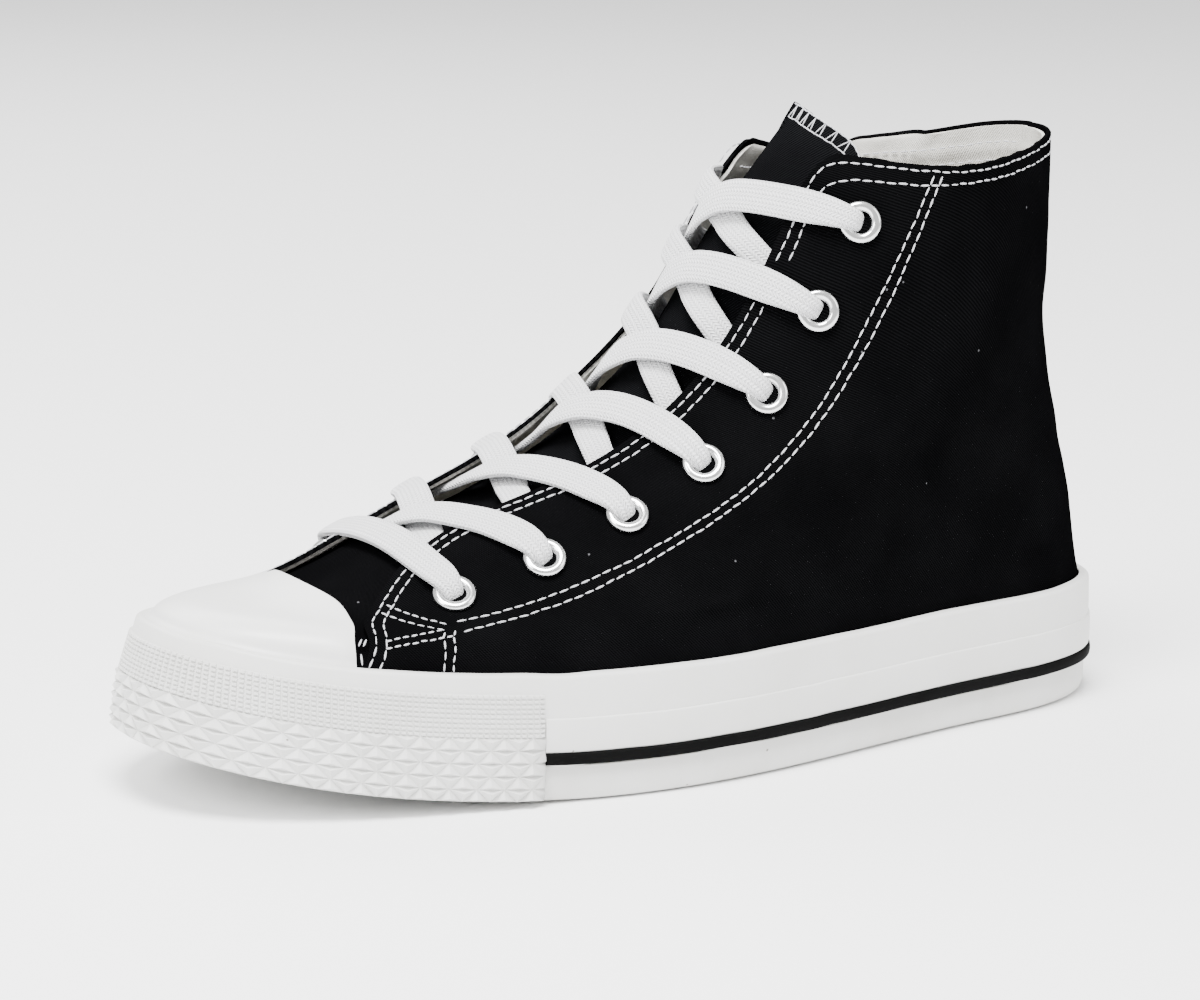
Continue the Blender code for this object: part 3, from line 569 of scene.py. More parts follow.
def laid_grid(name, points, closed=False):
    """A flat grid laid over points, one vertex to each, with a cloth map in metres."""
    rows, columns = points.shape[:2]
    mesh = written(grid_of(columns - 1, rows - 1), name)
    spots = vectors(mesh)
    j = np.rint((spots[:, 0] + 1) / 2 * (columns - 1)).astype(int)
    i = np.rint((spots[:, 1] + 1) / 2 * (rows - 1)).astype(int)
    mesh.vertices.foreach_set("co", points[i, j].ravel())
    u, v = cloth_map(points)
    corner = np.empty(len(mesh.loops), int)
    mesh.loops.foreach_get("vertex_index", corner)
    layer = mesh.uv_layers.new(name="cloth")
    layer.data.foreach_set("uv", np.stack([u[i, j], v[i, j]], -1)[corner].ravel())
    mesh.update()
    if closed:
        bm = editing(mesh)
        bmesh.ops.remove_doubles(bm, verts=bm.verts, dist=WELD)
        written(bm, mesh)
    return mesh


def capped(mesh, ends=True):
    """Fill a tube's open ends and turn its faces outwards."""
    bm = editing(mesh)
    if ends:
        bmesh.ops.holes_fill(bm, edges=[edge for edge in bm.edges if edge.is_boundary])
    bmesh.ops.recalc_face_normals(bm, faces=bm.faces)
    return written(bm, mesh)


def outwards(mesh, heart):
    """Turn a sheet's faces so that they look away from a point on the whole."""
    if (vectors(mesh, "normal") * (vectors(mesh) - heart)).sum() < 0:
        mesh.flip_normals()


def shown(name, mesh, smooth=True):
    obj = bpy.data.objects.new(name, mesh)
    bpy.context.scene.collection.objects.link(obj)
    if smooth:
        mesh.shade_smooth()
        mesh.set_sharp_from_angle(angle=math.radians(42))
    return obj


def thicken(obj, wall):
    """Grow a sheet inwards by its wall."""
    body = obj.modifiers.new("wall", 'SOLIDIFY')
    body.thickness = wall
    body.offset = -1.0


def cloth_piece(name, points, wall, material, nodes=(), round_edge=0.00025, heart=HEART):
    """A cloth or rubber sheet of a given wall that grows inwards from its points."""
    mesh = laid_grid(name, points)
    outwards(mesh, heart)
    obj = shown(name, mesh)
    thicken(obj, wall)
    edge = obj.modifiers.new("edge", 'BEVEL')
    edge.width = round_edge
    edge.segments = 2
    edge.limit_method = 'ANGLE'
    edge.angle_limit = math.radians(50)
    finish_piece(obj, material, nodes)


def band_piece(name, profile, turns, closed, material, nodes, wander):
    """A rubber strip: a closed profile of (offset, height) points run around the sole."""
    profile = np.array(profile + profile[:1])
    drift = wander * smooth_noise((len(turns), 2), (60, 1), BAND_SEED)[:, :1]
    if closed:
        drift[-1] = drift[0]
    points = sole_point(profile[None, :, 0], profile[None, :, 1] + drift, turns[:, None])
    mesh = capped(laid_grid(name, points, True), not closed)
    finish_piece(shown(name, mesh), material, nodes)


def rounded(low, high, inner, outer, radius_low, radius_high, bulge):
    """Profile of a strip with rounded outer corners and a slightly full face."""
    arc = [(math.sin(a), math.cos(a)) for a in (math.pi / 2 * k / 4 for k in range(5))]
    face = high - low - radius_low - radius_high
    return ((inner, low),
            *((outer - radius_low * (1 - s), low + radius_low * (1 - c)) for s, c in arc),
            *((outer + bulge * math.sin(math.pi * s), low + radius_low + face * s)
              for s in (0.25, 0.5, 0.75)),
            *((outer - radius_high * (1 - c), high - radius_high * (1 - s)) for s, c in arc),
            (inner, high))


def bumper_turns():
    """First and last turn around the sole that the toe bumper covers."""
    turns = np.linspace(0, 1, 2881)[:-1]
    x = sole_point(0.0, 0.0, turns)[:, 0] - SHIFT[0]
    under = turns[x > BUMPER_END * LENGTH]
    return under[0], under[-1]


# Sole

WALL = CLEARANCE + WALL_RUBBER
BUMPER_START, BUMPER_STOP = bumper_turns()
GAP = 0.0002 / GIRTH
AROUND = np.linspace(0, 1, 561)
ALONGSIDE = np.linspace(BUMPER_STOP + GAP, 1 + BUMPER_START - GAP, 401)

band_piece("foxing_band",
           rounded(0.0089, SOLE_HEIGHT + 0.0002, 0.0004, WALL - 0.0001, 0.0004, 0.0011, 0.00025),
           AROUND, True, white_rubber, ("foxing",), 0.00012)
band_piece("middle_tape",
           rounded(STRIPE_TOP + 0.0002, TAPE_TOP, 0.0024, WALL + 0.0005, 0.0003, 0.0005, 0.00015),
           ALONGSIDE, False, white_rubber, ("side_tape",), 0.00006)
band_piece("dark_stripe",
           rounded(STRIPE_LOW, STRIPE_TOP, 0.0024, WALL + 0.0009, 0.0006, 0.0006, 0.0001),
           ALONGSIDE, False, stripe_rubber, ("pinstripe",), 0.00005)


def outsole():
    """Sole plate: a rounded side wall and a flat underside with a channel around it."""
    side = WALL - 0.0008
    rings = np.array([
        (side - 0.004, OUTSOLE_THICKNESS), (side, OUTSOLE_THICKNESS), (side + 0.0002, 0.0062),
        (side + 0.0002, 0.0040), (side, 0.0022), (side - 0.0004, 0.0011),
        (side - 0.0011, 0.0004), (side - 0.0022, 0.0000), (side - 0.0055, 0.0000),
        (side - 0.0062, 0.0009), (side - 0.0080, 0.0009), (side - 0.0087, 0.0000),
        (side - 0.0110, 0.0)])
    offset, height = rings.T
    mesh = laid_grid("tread", sole_point(offset[:, None], height[:, None], AROUND), True)
    bm = editing(mesh)
    rims = [edge for edge in bm.edges if edge.is_boundary]
    top = [edge for edge in rims
           if sole_z(edge.verts[0].co.x - SHIFT[0], 0.0085) < edge.verts[0].co.z]
    for rim in (top, [edge for edge in rims if edge not in top]):
        bmesh.ops.holes_fill(bm, edges=rim)
    bmesh.ops.recalc_face_normals(bm, faces=bm.faces)
    return finish_piece(shown("tread", written(bm, mesh)), tread_rubber)


def triangle_field(run, low, high):
    """Rows of low three-sided pyramids: a staggered grid cut in triangles and poked."""
    wide, tall = 0.0067, (high - low) / 5
    cells = int(run / wide) + 4
    bm = grid_of(cells, 6)
    bmesh.ops.scale(bm, verts=bm.verts, vec=(cells * wide / 2, 3 * tall, 1.0))
    bmesh.ops.translate(bm, verts=bm.verts, vec=(run / 2, high - 3 * tall, 0))
    for row in range(7):
        shifted = [v for v in bm.verts if abs(v.co.y - (high - row * tall)) < tall / 4]
        bmesh.ops.translate(bm, verts=shifted, vec=(wide / 2 * (row % 2), 0, 0))
    bmesh.ops.triangulate(bm, faces=bm.faces[:], quad_method='SHORT_EDGE')
    bmesh.ops.poke(bm, faces=bm.faces[:], offset=0.00110)
    for spot, way in (((0, low, 0), (0, -1, 0)), ((0, 0, 0), (-1, 0, 0)), ((run, 0, 0), (1, 0, 0))):
        bmesh.ops.bisect_plane(bm, geom=bm.verts[:] + bm.edges[:] + bm.faces[:], plane_co=spot,
                               plane_no=way, clear_outer=True, dist=1e-6)
    return written(bm, "triangle_field")


def square_field(run, low, high):
    """Nine rows of small raised squares."""
    pitch = 0.0015
    bm = grid_of(int(run / pitch), 9)
    bmesh.ops.scale(bm, verts=bm.verts, vec=(run / 2, (high - low) / 2, 1.0))
    bmesh.ops.translate(bm, verts=bm.verts, vec=(run / 2, (high + low) / 2, 0))
    tops = bm.faces[:]
    bmesh.ops.inset_individual(bm, faces=tops, thickness=0.00024, depth=0.0)
    bmesh.ops.inset_individual(bm, faces=tops, thickness=0.00020, depth=0.00045)
    return written(bm, "square_field")


def bumper():
    """Toe bumper: rows of small squares above a field of low three-sided pyramids."""
    start, stop = BUMPER_START, BUMPER_STOP
    run = (stop - start) * GIRTH
    low = 0.0006
    bm = editing(triangle_field(run, low, BUMPER_ZONES))
    bm.from_mesh(square_field(run, BUMPER_ZONES, BUMPER_TOP - 0.0003))
    spots = np.array([v.co for v in bm.verts])
    turn = start + np.clip(spots[:, 0] / run, 0, 1) * (stop - start)
    height = np.clip(spots[:, 1], low, BUMPER_TOP)
    lift = WALL + 0.0009 + spots[:, 2]
    lift -= 0.0007 * np.clip((0.0022 - height) / 0.0016, 0, 1) ** 2
    lift -= 0.0007 * np.clip((height - BUMPER_ZONES) / (BUMPER_TOP - BUMPER_ZONES), 0, 1)
    ends = np.minimum(spots[:, 0], run - spots[:, 0])
    lift -= 0.0006 * np.clip(1 - ends / 0.0008, 0, 1) ** 2
    for vert, spot in zip(bm.verts, sole_point(lift, height, turn)):
        vert.co = spot
    bmesh.ops.remove_doubles(bm, verts=bm.verts, dist=WELD)
    mesh = written(bm, "toe_bumper_face")
    outwards(mesh, HEART)
    obj = shown("toe_bumper_face", mesh)
    mesh.set_sharp_from_angle(angle=math.radians(14))
    thicken(obj, 0.0010)
    finish_piece(obj, bumper_rubber, ("toe_bumper",))


bumper()


# Upper

def quarter_lift(level, place, side):
    """How far a quarter stands off the skin: its free edge lifts a little."""
    edge = edge_width(level, side)
    middle = skin(level, 0.0)[..., 1]
    away = np.abs(skin(level, place)[..., 1] - middle) - edge
    free = np.clip((np.asarray(level) - 0.12) / 0.2, 0, 1)
    size = 0.0016 if side < 0 else 0.0003
    return size * free * np.exp(-(np.clip(away, 0, None) / 0.006) ** 2)


def soft_folds(level, place):
    """The main creases and hollows of the cloth."""
    total = np.zeros(np.broadcast(level, place).shape)
    for at_level, at_place, long_level, long_place, slant, depth in (
            (0.12, 0.36, 0.06, 0.16, 0.10, -0.0005), (0.20, 0.44, 0.05, 0.14, 0.16, 0.0004),
            (0.42, 0.56, 0.07, 0.20, 0.22, -0.0005), (0.55, 0.62, 0.06, 0.18, 0.25, 0.0004),
            (0.30, 0.70, 0.10, 0.10, -0.2, -0.0004), (0.80, 0.55, 0.10, 0.22, 0.0, 0.0005),
            (0.12, -0.36, 0.06, 0.16, 0.10, -0.0006), (0.22, -0.46, 0.05, 0.14, 0.16, 0.0005),
            (0.45, -0.58, 0.07, 0.20, 0.22, -0.0006), (0.58, -0.66, 0.06, 0.18, 0.25, 0.0005),
            (0.78, -0.5, 0.12, 0.22, 0.0, 0.0005)):
        across = (place - at_place) / long_place
        up = (level - at_level - slant * (np.abs(place) - abs(at_place))) / long_level
        total = total + depth * np.exp(-across ** 2 - up ** 2)
    return total


def quarter_rows():
    """Levels of the quarters' rows, closer together at the rounded top corners."""
    rising = np.linspace(-0.02, CORNER_START, 130)
    corner = CORNER_START + (1 - CORNER_START) * np.sin(np.linspace(0, math.pi / 2, 14)[1:])
    return np.concatenate([rising, corner])


def quarters():
    """Both quarters as one sheet around the heel, from one throat edge to the other."""
    levels = quarter_rows()
    spread = 1 - (1 - np.linspace(0, 1, 150)) ** 1.35
    places = []
    for side in (1, -1):
        edge = np.abs(edge_place(levels, side))[:, None]
        places.append(side * (edge + (1 - edge) * spread[None, :]))
    place = np.concatenate([places[0], places[1][:, ::-1][:, 1:]], axis=1)
    level = np.repeat(levels[:, None], place.shape[1], axis=1)
    here, normal = skin_normals(level, place)
    lift = soft_folds(level, place) * np.clip(level / 0.08, 0, 1)
    lift *= np.clip((1 - level) / 0.05, 0, 1)
    lift += np.where(place > 0, quarter_lift(level, place, 1), quarter_lift(level, place, -1))
    lift += 0.00012 * smooth_noise(level.shape, (16, 40), 3)
    return level, place, here, normal, lift


LEVEL, PLACE, HERE, NORMAL, LIFT = quarters()
cloth_piece("canvas_quarters", HERE + NORMAL * LIFT[..., None], 0.0009,
            black_twill, ("upper",))


def lining():
    """Cotton lining behind the quarters, a little short of their edges."""
    level = (LEVEL * 0.994 - 0.0006)[:, 1:-1]
    place = PLACE[:, 1:-1]
    here, normal = skin_normals(level, place)
    collar_tape = np.exp(-((level - 0.955) / 0.010) ** 4)
    heel_tape = np.exp(-((1 - np.abs(place)) / 0.055) ** 4)
    lift = LIFT[:, 1:-1] - 0.00105 - 0.00035 * (collar_tape + heel_tape)
    cloth_piece("cotton_lining", here + normal * lift[..., None], 0.0008, lining_cotton)


lining()


def vamp():
    """Canvas vamp under the quarters' front edges."""
    level = np.linspace(-0.02, 0.37, 60)[:, None]
    across = np.linspace(1, -1, 101)
    lateral, medial = (edge_width(level, side) + 0.010 for side in (1, -1))
    reach = np.where(across >= 0, lateral, medial) * np.abs(across) ** 0.8
    place = place_at_width(level, reach, np.where(across >= 0, 1, -1))
    here, normal = skin_normals(level, place)
    depth = 0.0011 + 0.0005 * np.clip(level / 0.1, 0, 1)
    depth = depth - 0.0003 * np.exp(-((level - 0.28) / 0.03) ** 2 - (place / 0.05) ** 2)
    depth = depth - 0.0012 * np.clip(1 - level / 0.05, 0, 1)
    cloth_piece("canvas_vamp", here - normal * depth[..., None], 0.0010, black_twill)


vamp()


CAP_EDGE_COLUMNS = ("share", "place", "level")
CAP_EDGE = (
    (0.00, 0.000, 0.274),
    (0.30, 0.036, 0.244),
    (0.55, 0.073, 0.190),
    (0.75, 0.102, 0.123),
    (0.90, 0.118, 0.046),
    (1.00, 0.124, -0.006),
)


def toe_cap():
    """Rubber toe cap: a full smooth shell with a curved edge across the vamp."""
    t = np.linspace(-1, 1, 121)
    edge = table(CAP_EDGE, CAP_EDGE_COLUMNS, np.abs(t))
    base = -0.035
    share = np.linspace(0, 1, 60)[:, None]
    level = base + (edge["level"] - base) * share
    here, normal = skin_normals(level, np.sign(t) * edge["place"])
    full = 0.0009 * np.sin(np.pi * share) ** 1.2 * np.clip((edge["level"] + 0.01) / 0.1, 0, 1)
    full = 0.0010 + full - 0.0005 * np.exp(-((level - 0.015) / 0.022) ** 2)
    cloth_piece("rubber_toe_cap", here + normal * full[..., None], 0.0013, cap_rubber,
                ("toe_cap",), 0.0005)


toe_cap()


def heel_stay():
    """Canvas strip down the back seam."""
    level = np.linspace(0.0, 0.995, 120)[:, None]
    across = np.linspace(1, -1, 21)
    place = place_at_back(level, np.abs(across) * 0.009, np.where(across >= 0, 1, -1))
    here, normal = skin_normals(level, place)
    puff = 0.0009 + 0.00015 * np.sin(np.pi * np.linspace(0, 1, 21))
    cloth_piece("canvas_heel_stay", here + normal * puff[:, None], 0.0008, black_twill,
                ("heel_strip",))


heel_stay()


def tongue():
    """Canvas tongue with a cotton back."""
    t = np.linspace(1, -1, 61)
    top = TONGUE_TOP - TONGUE_SLOPE * ((t - TONGUE_PEAK) / (1 - TONGUE_PEAK)) ** 2
    top -= TONGUE_CORNER * np.clip((np.abs(t) - 0.6) / 0.4, 0, None) ** 3
    share = np.linspace(0, 1, 90)[:, None]
    level = TONGUE_START + (top - TONGUE_START) * share
    half = BALL_WIDTH * (0.20 + 0.115 * np.minimum(1.0, 1.3 * share)) * np.abs(t)
    here, normal = skin_normals(level, place_at_width(level, half, np.where(t >= 0, 1, -1)))
    room = np.clip((level - TONGUE_START) / 0.14, 0, 1)
    drop = UPPER_WALL + QUARTER_STEP * (1 - room) + CLEARANCE + LACE_ROOM * room
    drop += 0.0036 * np.clip((level - 0.86) / 0.18, 0, 1) ** 1.5
    drop -= 0.0003 * smooth_noise(level.shape, (9, 6), 21)
    front = here - normal * drop[..., None]
    back = here - normal * (drop + 0.00105)[..., None]
    cloth_piece("canvas_tongue", front, 0.0010, tongue_twill, ("tongue",), 0.0003)
    cloth_piece("tongue_lining", back[:-1], 0.0009, lining_cotton)
    return front, normal


TONGUE_FACE, TONGUE_NORMAL = tongue()


def insole():
    """Cotton-covered insole in the bottom of the shoe."""
    turns = np.linspace(0.0005, 0.4995, 121)
    edge = -(UPPER_WALL + INSOLE_GAP)
    left, right = (sole_point(edge, INSOLE_TOP, way)[:, None] for way in (turns, 1 - turns))
    mix = (np.linspace(-1, 1, 41)[:, None] + 1) / 2
    cloth_piece("cotton_insole", left * (1 - mix) + right * mix, 0.0035, insole_cloth,
                ("insole",), 0.0005, HEART - [0, 0, 0.1])


insole()


# Eyelets and laces

def eyelet_places():
    """Level, lateral place and medial place of each eyelet pair, evenly spaced."""
    levels = np.linspace(EYELET_LINE[0][0], EYELET_LINE[-1][0], 121)
    shares = table(EYELET_LINE, EYELET_LINE_COLUMNS, levels)["share"]
    points = skin(levels, 1 - shares)
    length = run_length(points)
    even = np.linspace(0, length[-1], EYELET_PAIRS)
    places = []
    for level, share in zip(np.interp(even, length, levels), np.interp(even, length, shares)):
        width = skin(level, 1 - share)[1] - skin(level, 0.0)[1]
        places.append((level, 1 - share, float(place_at_width(level, width, -1))))
    return places


EYELETS = eyelet_places()


def ring_prototype():
    """One rolled eyelet, spun about its axis."""
    bore, outer, foot, face, top = EYELET_BORE, EYELET_RADIUS, -0.0024, 0.00015, 0.00135
    middle, half = (bore + outer) / 2, (outer - bore) / 2
    profile = [(bore, foot), (bore, 0.0)]
    for k in range(1, 9):
        a = math.pi * k / 8
        profile.append((middle - half * math.cos(a), face + (top - face) * math.sin(a) ** 0.8))
    profile += [(outer - 0.0003, -0.0001), (bore + 0.0004, -0.0001), (bore + 0.0004, foot)]
    bm = bmesh.new()
    rim = [bm.verts.new((radius, 0, z)) for radius, z in profile]
    for a, b in zip(rim, rim[1:] + rim[:1]):
        bm.edges.new((a, b))
    bmesh.ops.spin(bm, geom=bm.verts[:] + bm.edges[:], cent=(0, 0, 0), axis=(0, 0, 1),
                   angle=2 * math.pi, steps=40, use_merge=True)
    bmesh.ops.remove_doubles(bm, verts=bm.verts, dist=WELD)
    bmesh.ops.recalc_face_normals(bm, faces=bm.faces)
    return written(bm, "ring_prototype")


def joined_copies(name, prototype, frames, material, nodes=()):
    """Many copies of one small mesh, joined: frames are (3x3 axes, point) pairs."""
    count = len(prototype.vertices)
    axes, points = (np.array(rows) for rows in zip(*frames))
    placed = np.einsum('nij,vj->nvi', axes, vectors(prototype)) + points[:, None, :]
    faces = [tuple(p.vertices) for p in prototype.polygons]
    every = [tuple(v + k * count for v in face) for k in range(len(frames)) for face in faces]
    mesh = bpy.data.meshes.new(name)
    mesh.from_pydata(placed.reshape(-1, 3), [], every)
    mesh.update()
    return finish_piece(shown(name, mesh), material, nodes)
def eyelets():
    """Rolled eyelets, turned so that their axes follow the skin's normals."""
    frames = []
    for level, *pair in EYELETS:
        for place in pair:
            here, normal, up = skin_frame(level, place)
            side = unit(np.cross(up, normal))
            axes = np.column_stack([side, np.cross(normal, side), normal])
            frames.append((axes, here + normal * 0.00035))
    nodes = ["eyelet_%s_%d" % (side, i + 1)
             for side in ("lateral", "medial") for i in range(EYELET_PAIRS)]
    joined_copies("rolled_eyelets", ring_prototype(), frames, eyelet_metal, nodes)


eyelets()


def over_skin(points, along):
    """Levels and places of the skin square above a chord's points."""
    low, high = np.full(len(points), 0.1), np.full(len(points), 1.1)
    for _ in range(26):
        level = (low + high) / 2
        across = points[:, 1] - skin(level, 0.0)[:, 1]
        place = place_at_width(level, np.abs(across), np.where(across > 0, 1, -1))
        short = ((skin(level, place) - points) * along).sum(1) < 0
        low, high = np.where(short, level, low), np.where(short, high, level)
    return level, place


def strand(name, start, end, stops, bow, nodes=()):
    """A flat braided cord between two eyelets; stops are (share, lift, width, thickness).

    bow gives how far up the instep the cord bends at each share of its way.
    """
    level = (start[0] + end[0]) / 2
    along = skin(level + 0.04, 0.0) - skin(level - 0.04, 0.0)
    along[1] = 0.0
    start, end = skin(*start), skin(*end)
    stops = np.array(stops)
    at = np.linspace(stops[0, 0], stops[-1, 0], LACE_ROWS)
    lift, wide, thick = natural_spline(stops[:, 0], stops[:, 1:], at).T
    inside = np.clip(at, 0.0, 1.0)
    chord = start + (end - start) * inside[:, None]
    chord += along / np.linalg.norm(along) * bow(inside)[:, None]
    here, normal = skin_normals(*over_skin(chord, along))
    for _ in range(3):
        normal[1:-1] = (normal[:-2] + normal[1:-1] + normal[2:]) / 3
    normal = unit(normal)
    centre = here + normal * lift[:, None]
    run = np.gradient(here, axis=0)
    run[0], run[-1] = run[1], run[-2]
    still = np.linalg.norm(run, axis=1) < 1e-7
    for k in np.nonzero(still)[0]:
        run[k] = run[k - 1] if k > LACE_ROWS // 2 else run[np.argmin(still)]
    ahead = unit(np.gradient(centre, axis=0))
    face = unit(np.cross(unit(np.cross(run, normal)), ahead))
    face *= np.sign((face * normal).sum(1))[:, None]
    wide_way = np.cross(ahead, face)
    angle = np.arange(LACE_SIDES + 1) / LACE_SIDES * 2 * math.pi
    cosine, sine = np.cos(angle), np.sin(angle)
    x = np.sign(cosine) * np.abs(cosine) ** 0.75
    y = np.sign(sine) * np.abs(sine) ** 0.62
    crown = 1.0 - 0.16 * np.exp(-(x / 0.16) ** 2)
    points = (centre[:, None, :] + wide_way[:, None, :] * (x * wide[:, None] / 2)[..., None]
              + face[:, None, :] * (y * crown)[None, :, None] * (thick / 2)[:, None, None])
    mesh = capped(laid_grid(name, points, True))
    finish_piece(shown(name, mesh), lace_knit, nodes)


# How far each outer strand bends up towards its eyelet and down at its start
LACE_BOWS = ((0.0032, 0.0004), (0.0032, 0.0006), (0.0028, 0.0014), (0.0014, 0.0034),
             (0.0000, 0.0054), (-0.0012, 0.0062))
LACE_SAGS = (0.0, 0.0, 0.0006, 0.0014, 0.0018, 0.0018)


def lace_bow(rise, fall):
    """Bend of a strand up the instep near its end and down it near its start."""
    def bend(share):
        high = rise * np.sin(np.pi * share) * np.clip(2.4 * share - 1, 0, None)
        return high - fall * np.exp(-((share - 0.30) / 0.17) ** 2) * np.clip(share / 0.1, 0, 1)
    return bend


def laces():
    """A straight bar at the lowest eyelets and criss-cross strands above it."""
    w, h = LACE_WIDTH, LACE_CORD
    rest = h / 2 + 0.00015
    dive = [(0.945, rest + 0.0013, w * 0.82, h * 1.15),
            (0.975, rest + 0.0007, w * 0.70, h * 1.35),
            (0.996, -0.0008, w * 0.60, h * 1.45), (1.004, -0.0034, w * 0.56, h * 1.4)]
    rise = [(1 - share, *row) for share, *row in dive[::-1]]
    level, lateral, medial = EYELETS[0]
    bar = [*rise, (0.14, rest + 0.0006, w * 0.94, h), (0.30, rest + 0.0001, w, h),
           (0.5, rest + 0.0002, w, h), (0.70, rest + 0.0003, w, h),
           (0.86, rest + 0.0010, w * 0.96, h), *dive]
    strand("lace_front_bar", (level, lateral), (level, medial), bar, lace_bow(0.0, 0.0),
           ("lace_bar",))
    for i, (low, high) in enumerate(zip(EYELETS, EYELETS[1:])):
        deep = -0.0036 if low[0] > 0.4 else -0.0026
        sag = LACE_SAGS[i]
        for k, kind in enumerate(("outer", "inner")):
            cross = (rest + 0.0003 - sag, -0.0015 - 0.6 * sag)[k]
            stops = [(0.06, deep, w * 0.7, h * 0.9), (0.16, deep + 0.0002, w * 0.8, h * 0.9),
                     (0.30, deep + 0.0012, w * 0.88, h), (0.42, cross - 0.0009, w * 0.96, h),
                     (0.52, cross, w, h), (0.64, rest + 0.0001 - 0.4 * sag, w, h),
                     (0.78, rest + 0.0004, w, h), (0.89, rest + 0.0010, w * 0.96, h), *dive]
            bow = (lace_bow(*LACE_BOWS[i]), lace_bow(0.0012, 0.0))[k]
            nodes = (("lace_crossing_%d" % (i + 1),), ())[k]
            strand("lace_%s_%d" % (kind, i + 1), (low[0], low[2 - k]), (high[0], high[1 + k]),
                   stops, bow, nodes)


laces()


# Stitching

def stitch_prototype():
    """One stitch: a short capsule along X, sunk at both ends."""
    bm = bmesh.new()
    bmesh.ops.create_uvsphere(bm, u_segments=6, v_segments=5, radius=1.0)
    bmesh.ops.rotate(bm, verts=bm.verts, cent=(0, 0, 0),
                     matrix=Matrix.Rotation(math.pi / 2, 3, 'Y'))
    return written(bm, "stitch_prototype")


STITCHES = []


def sew(points, normals, pitch=0.0029, gap=0.0006, radius=0.00024):
    """Lay stitches of one run along a line of surface points."""
    length = run_length(points)
    marks = np.linspace(0, length[-1], max(1, int(length[-1] / pitch)) + 1)

    def read(rows, at):
        return np.array([np.interp(at, length, rows[:, k]) for k in range(3)])

    for a, b in zip(marks, marks[1:]):
        start, end = read(points, a + gap / 2), read(points, b - gap / 2)
        size = np.linalg.norm(end - start)
        ahead = (end - start) / size
        normal = read(normals, (a + b) / 2)
        normal = unit(normal - ahead * (normal @ ahead))
        side = np.cross(normal, ahead)
        shift = rng.normal(0, STITCH_JITTER, 2)[0]
        turn = rng.normal(0, 0.05)
        ahead, side = (ahead * math.cos(turn) + side * math.sin(turn),
                       side * math.cos(turn) - ahead * math.sin(turn))
        centre = (start + end) / 2 + side * shift + normal * radius * 0.35
        axes = np.column_stack([ahead * size * 0.53, side * radius, normal * radius])
        STITCHES.append((axes, centre))


def sew_places(levels, places, **words):
    """A run of stitches through levels and places, smoothed and lifted with the quarters."""
    way = np.linspace(0, 1, len(levels))
    path = natural_spline(way, np.column_stack([levels, places]), np.linspace(0, 1, 160))
    level, place = path.T
    here, normal = skin_normals(level, place)
    side = 1 if places[len(places) // 2] > 0 else -1
    lift = soft_folds(level, place) + quarter_lift(level, place, side)
    sew(here + normal * lift[:, None], normal, **words)


def on_skin(points, level, place):
    """Levels and places of the skin nearest to points, from a first guess."""
    for _ in range(4):
        here = skin(level, place)
        by_level = (skin(level + 0.002, place) - here) / 0.002
        by_place = (skin(level, place + 0.002) - here) / 0.002
        gap = points - here
        a, b, c = (by_level ** 2).sum(-1), (by_level * by_place).sum(-1), (by_place ** 2).sum(-1)
        d, e = (gap * by_level).sum(-1), (gap * by_place).sum(-1)
        size = np.maximum(a * c - b * b, 1e-12)
        level = level + np.clip((c * d - b * e) / size, -0.03, 0.03)
        place = place + np.clip((a * e - b * d) / size, -0.03, 0.03)
    return level, place


def beside_edge(levels, side, inset):
    """Levels and places of a line at a distance from a quarter's front and throat edge."""
    place = edge_place(levels, side)
    here, normal = skin_normals(levels, place)
    inward = np.cross(unit(np.gradient(here, axis=0)), normal)
    inward *= np.sign((inward[:, 1] * side).mean())
    return on_skin(here + inward * inset[:, None], levels, place)


SEAM_COLUMNS = ("share", "level", "place")
CORNER_ROWS = (
    ((0.00, 0.800, 0.100), (0.10, 0.888, 0.104), (0.16, 0.934, 0.102), (0.20, 0.960, 0.103),
     (0.24, 0.978, 0.111), (0.28, 0.987, 0.130), (0.34, 0.991, 0.170), (0.45, 0.991, 0.290),
     (0.62, 0.990, 0.480), (0.82, 0.990, 0.720), (1.00, 0.989, 0.972)),
    ((0.00, 0.800, 0.122), (0.10, 0.888, 0.124), (0.16, 0.926, 0.122), (0.20, 0.945, 0.124),
     (0.24, 0.959, 0.134), (0.28, 0.966, 0.154), (0.34, 0.970, 0.195), (0.45, 0.970, 0.300),
     (0.62, 0.970, 0.480), (0.82, 0.970, 0.720), (1.00, 0.969, 0.972)),
)
STAY_ROWS = (
    ((0.00, 0.210, 0.155), (0.10, 0.262, 0.191), (0.20, 0.316, 0.227), (0.30, 0.372, 0.256),
     (0.40, 0.440, 0.276), (0.52, 0.540, 0.291), (0.64, 0.648, 0.315), (0.76, 0.765, 0.337),
     (0.88, 0.880, 0.361), (1.00, 0.985, 0.376)),
    ((0.00, 0.160, 0.184), (0.10, 0.215, 0.205), (0.20, 0.280, 0.240), (0.30, 0.345, 0.272),
     (0.40, 0.420, 0.297), (0.52, 0.525, 0.312), (0.64, 0.640, 0.338), (0.76, 0.755, 0.365),
     (0.88, 0.870, 0.390), (1.00, 0.985, 0.402)),
)
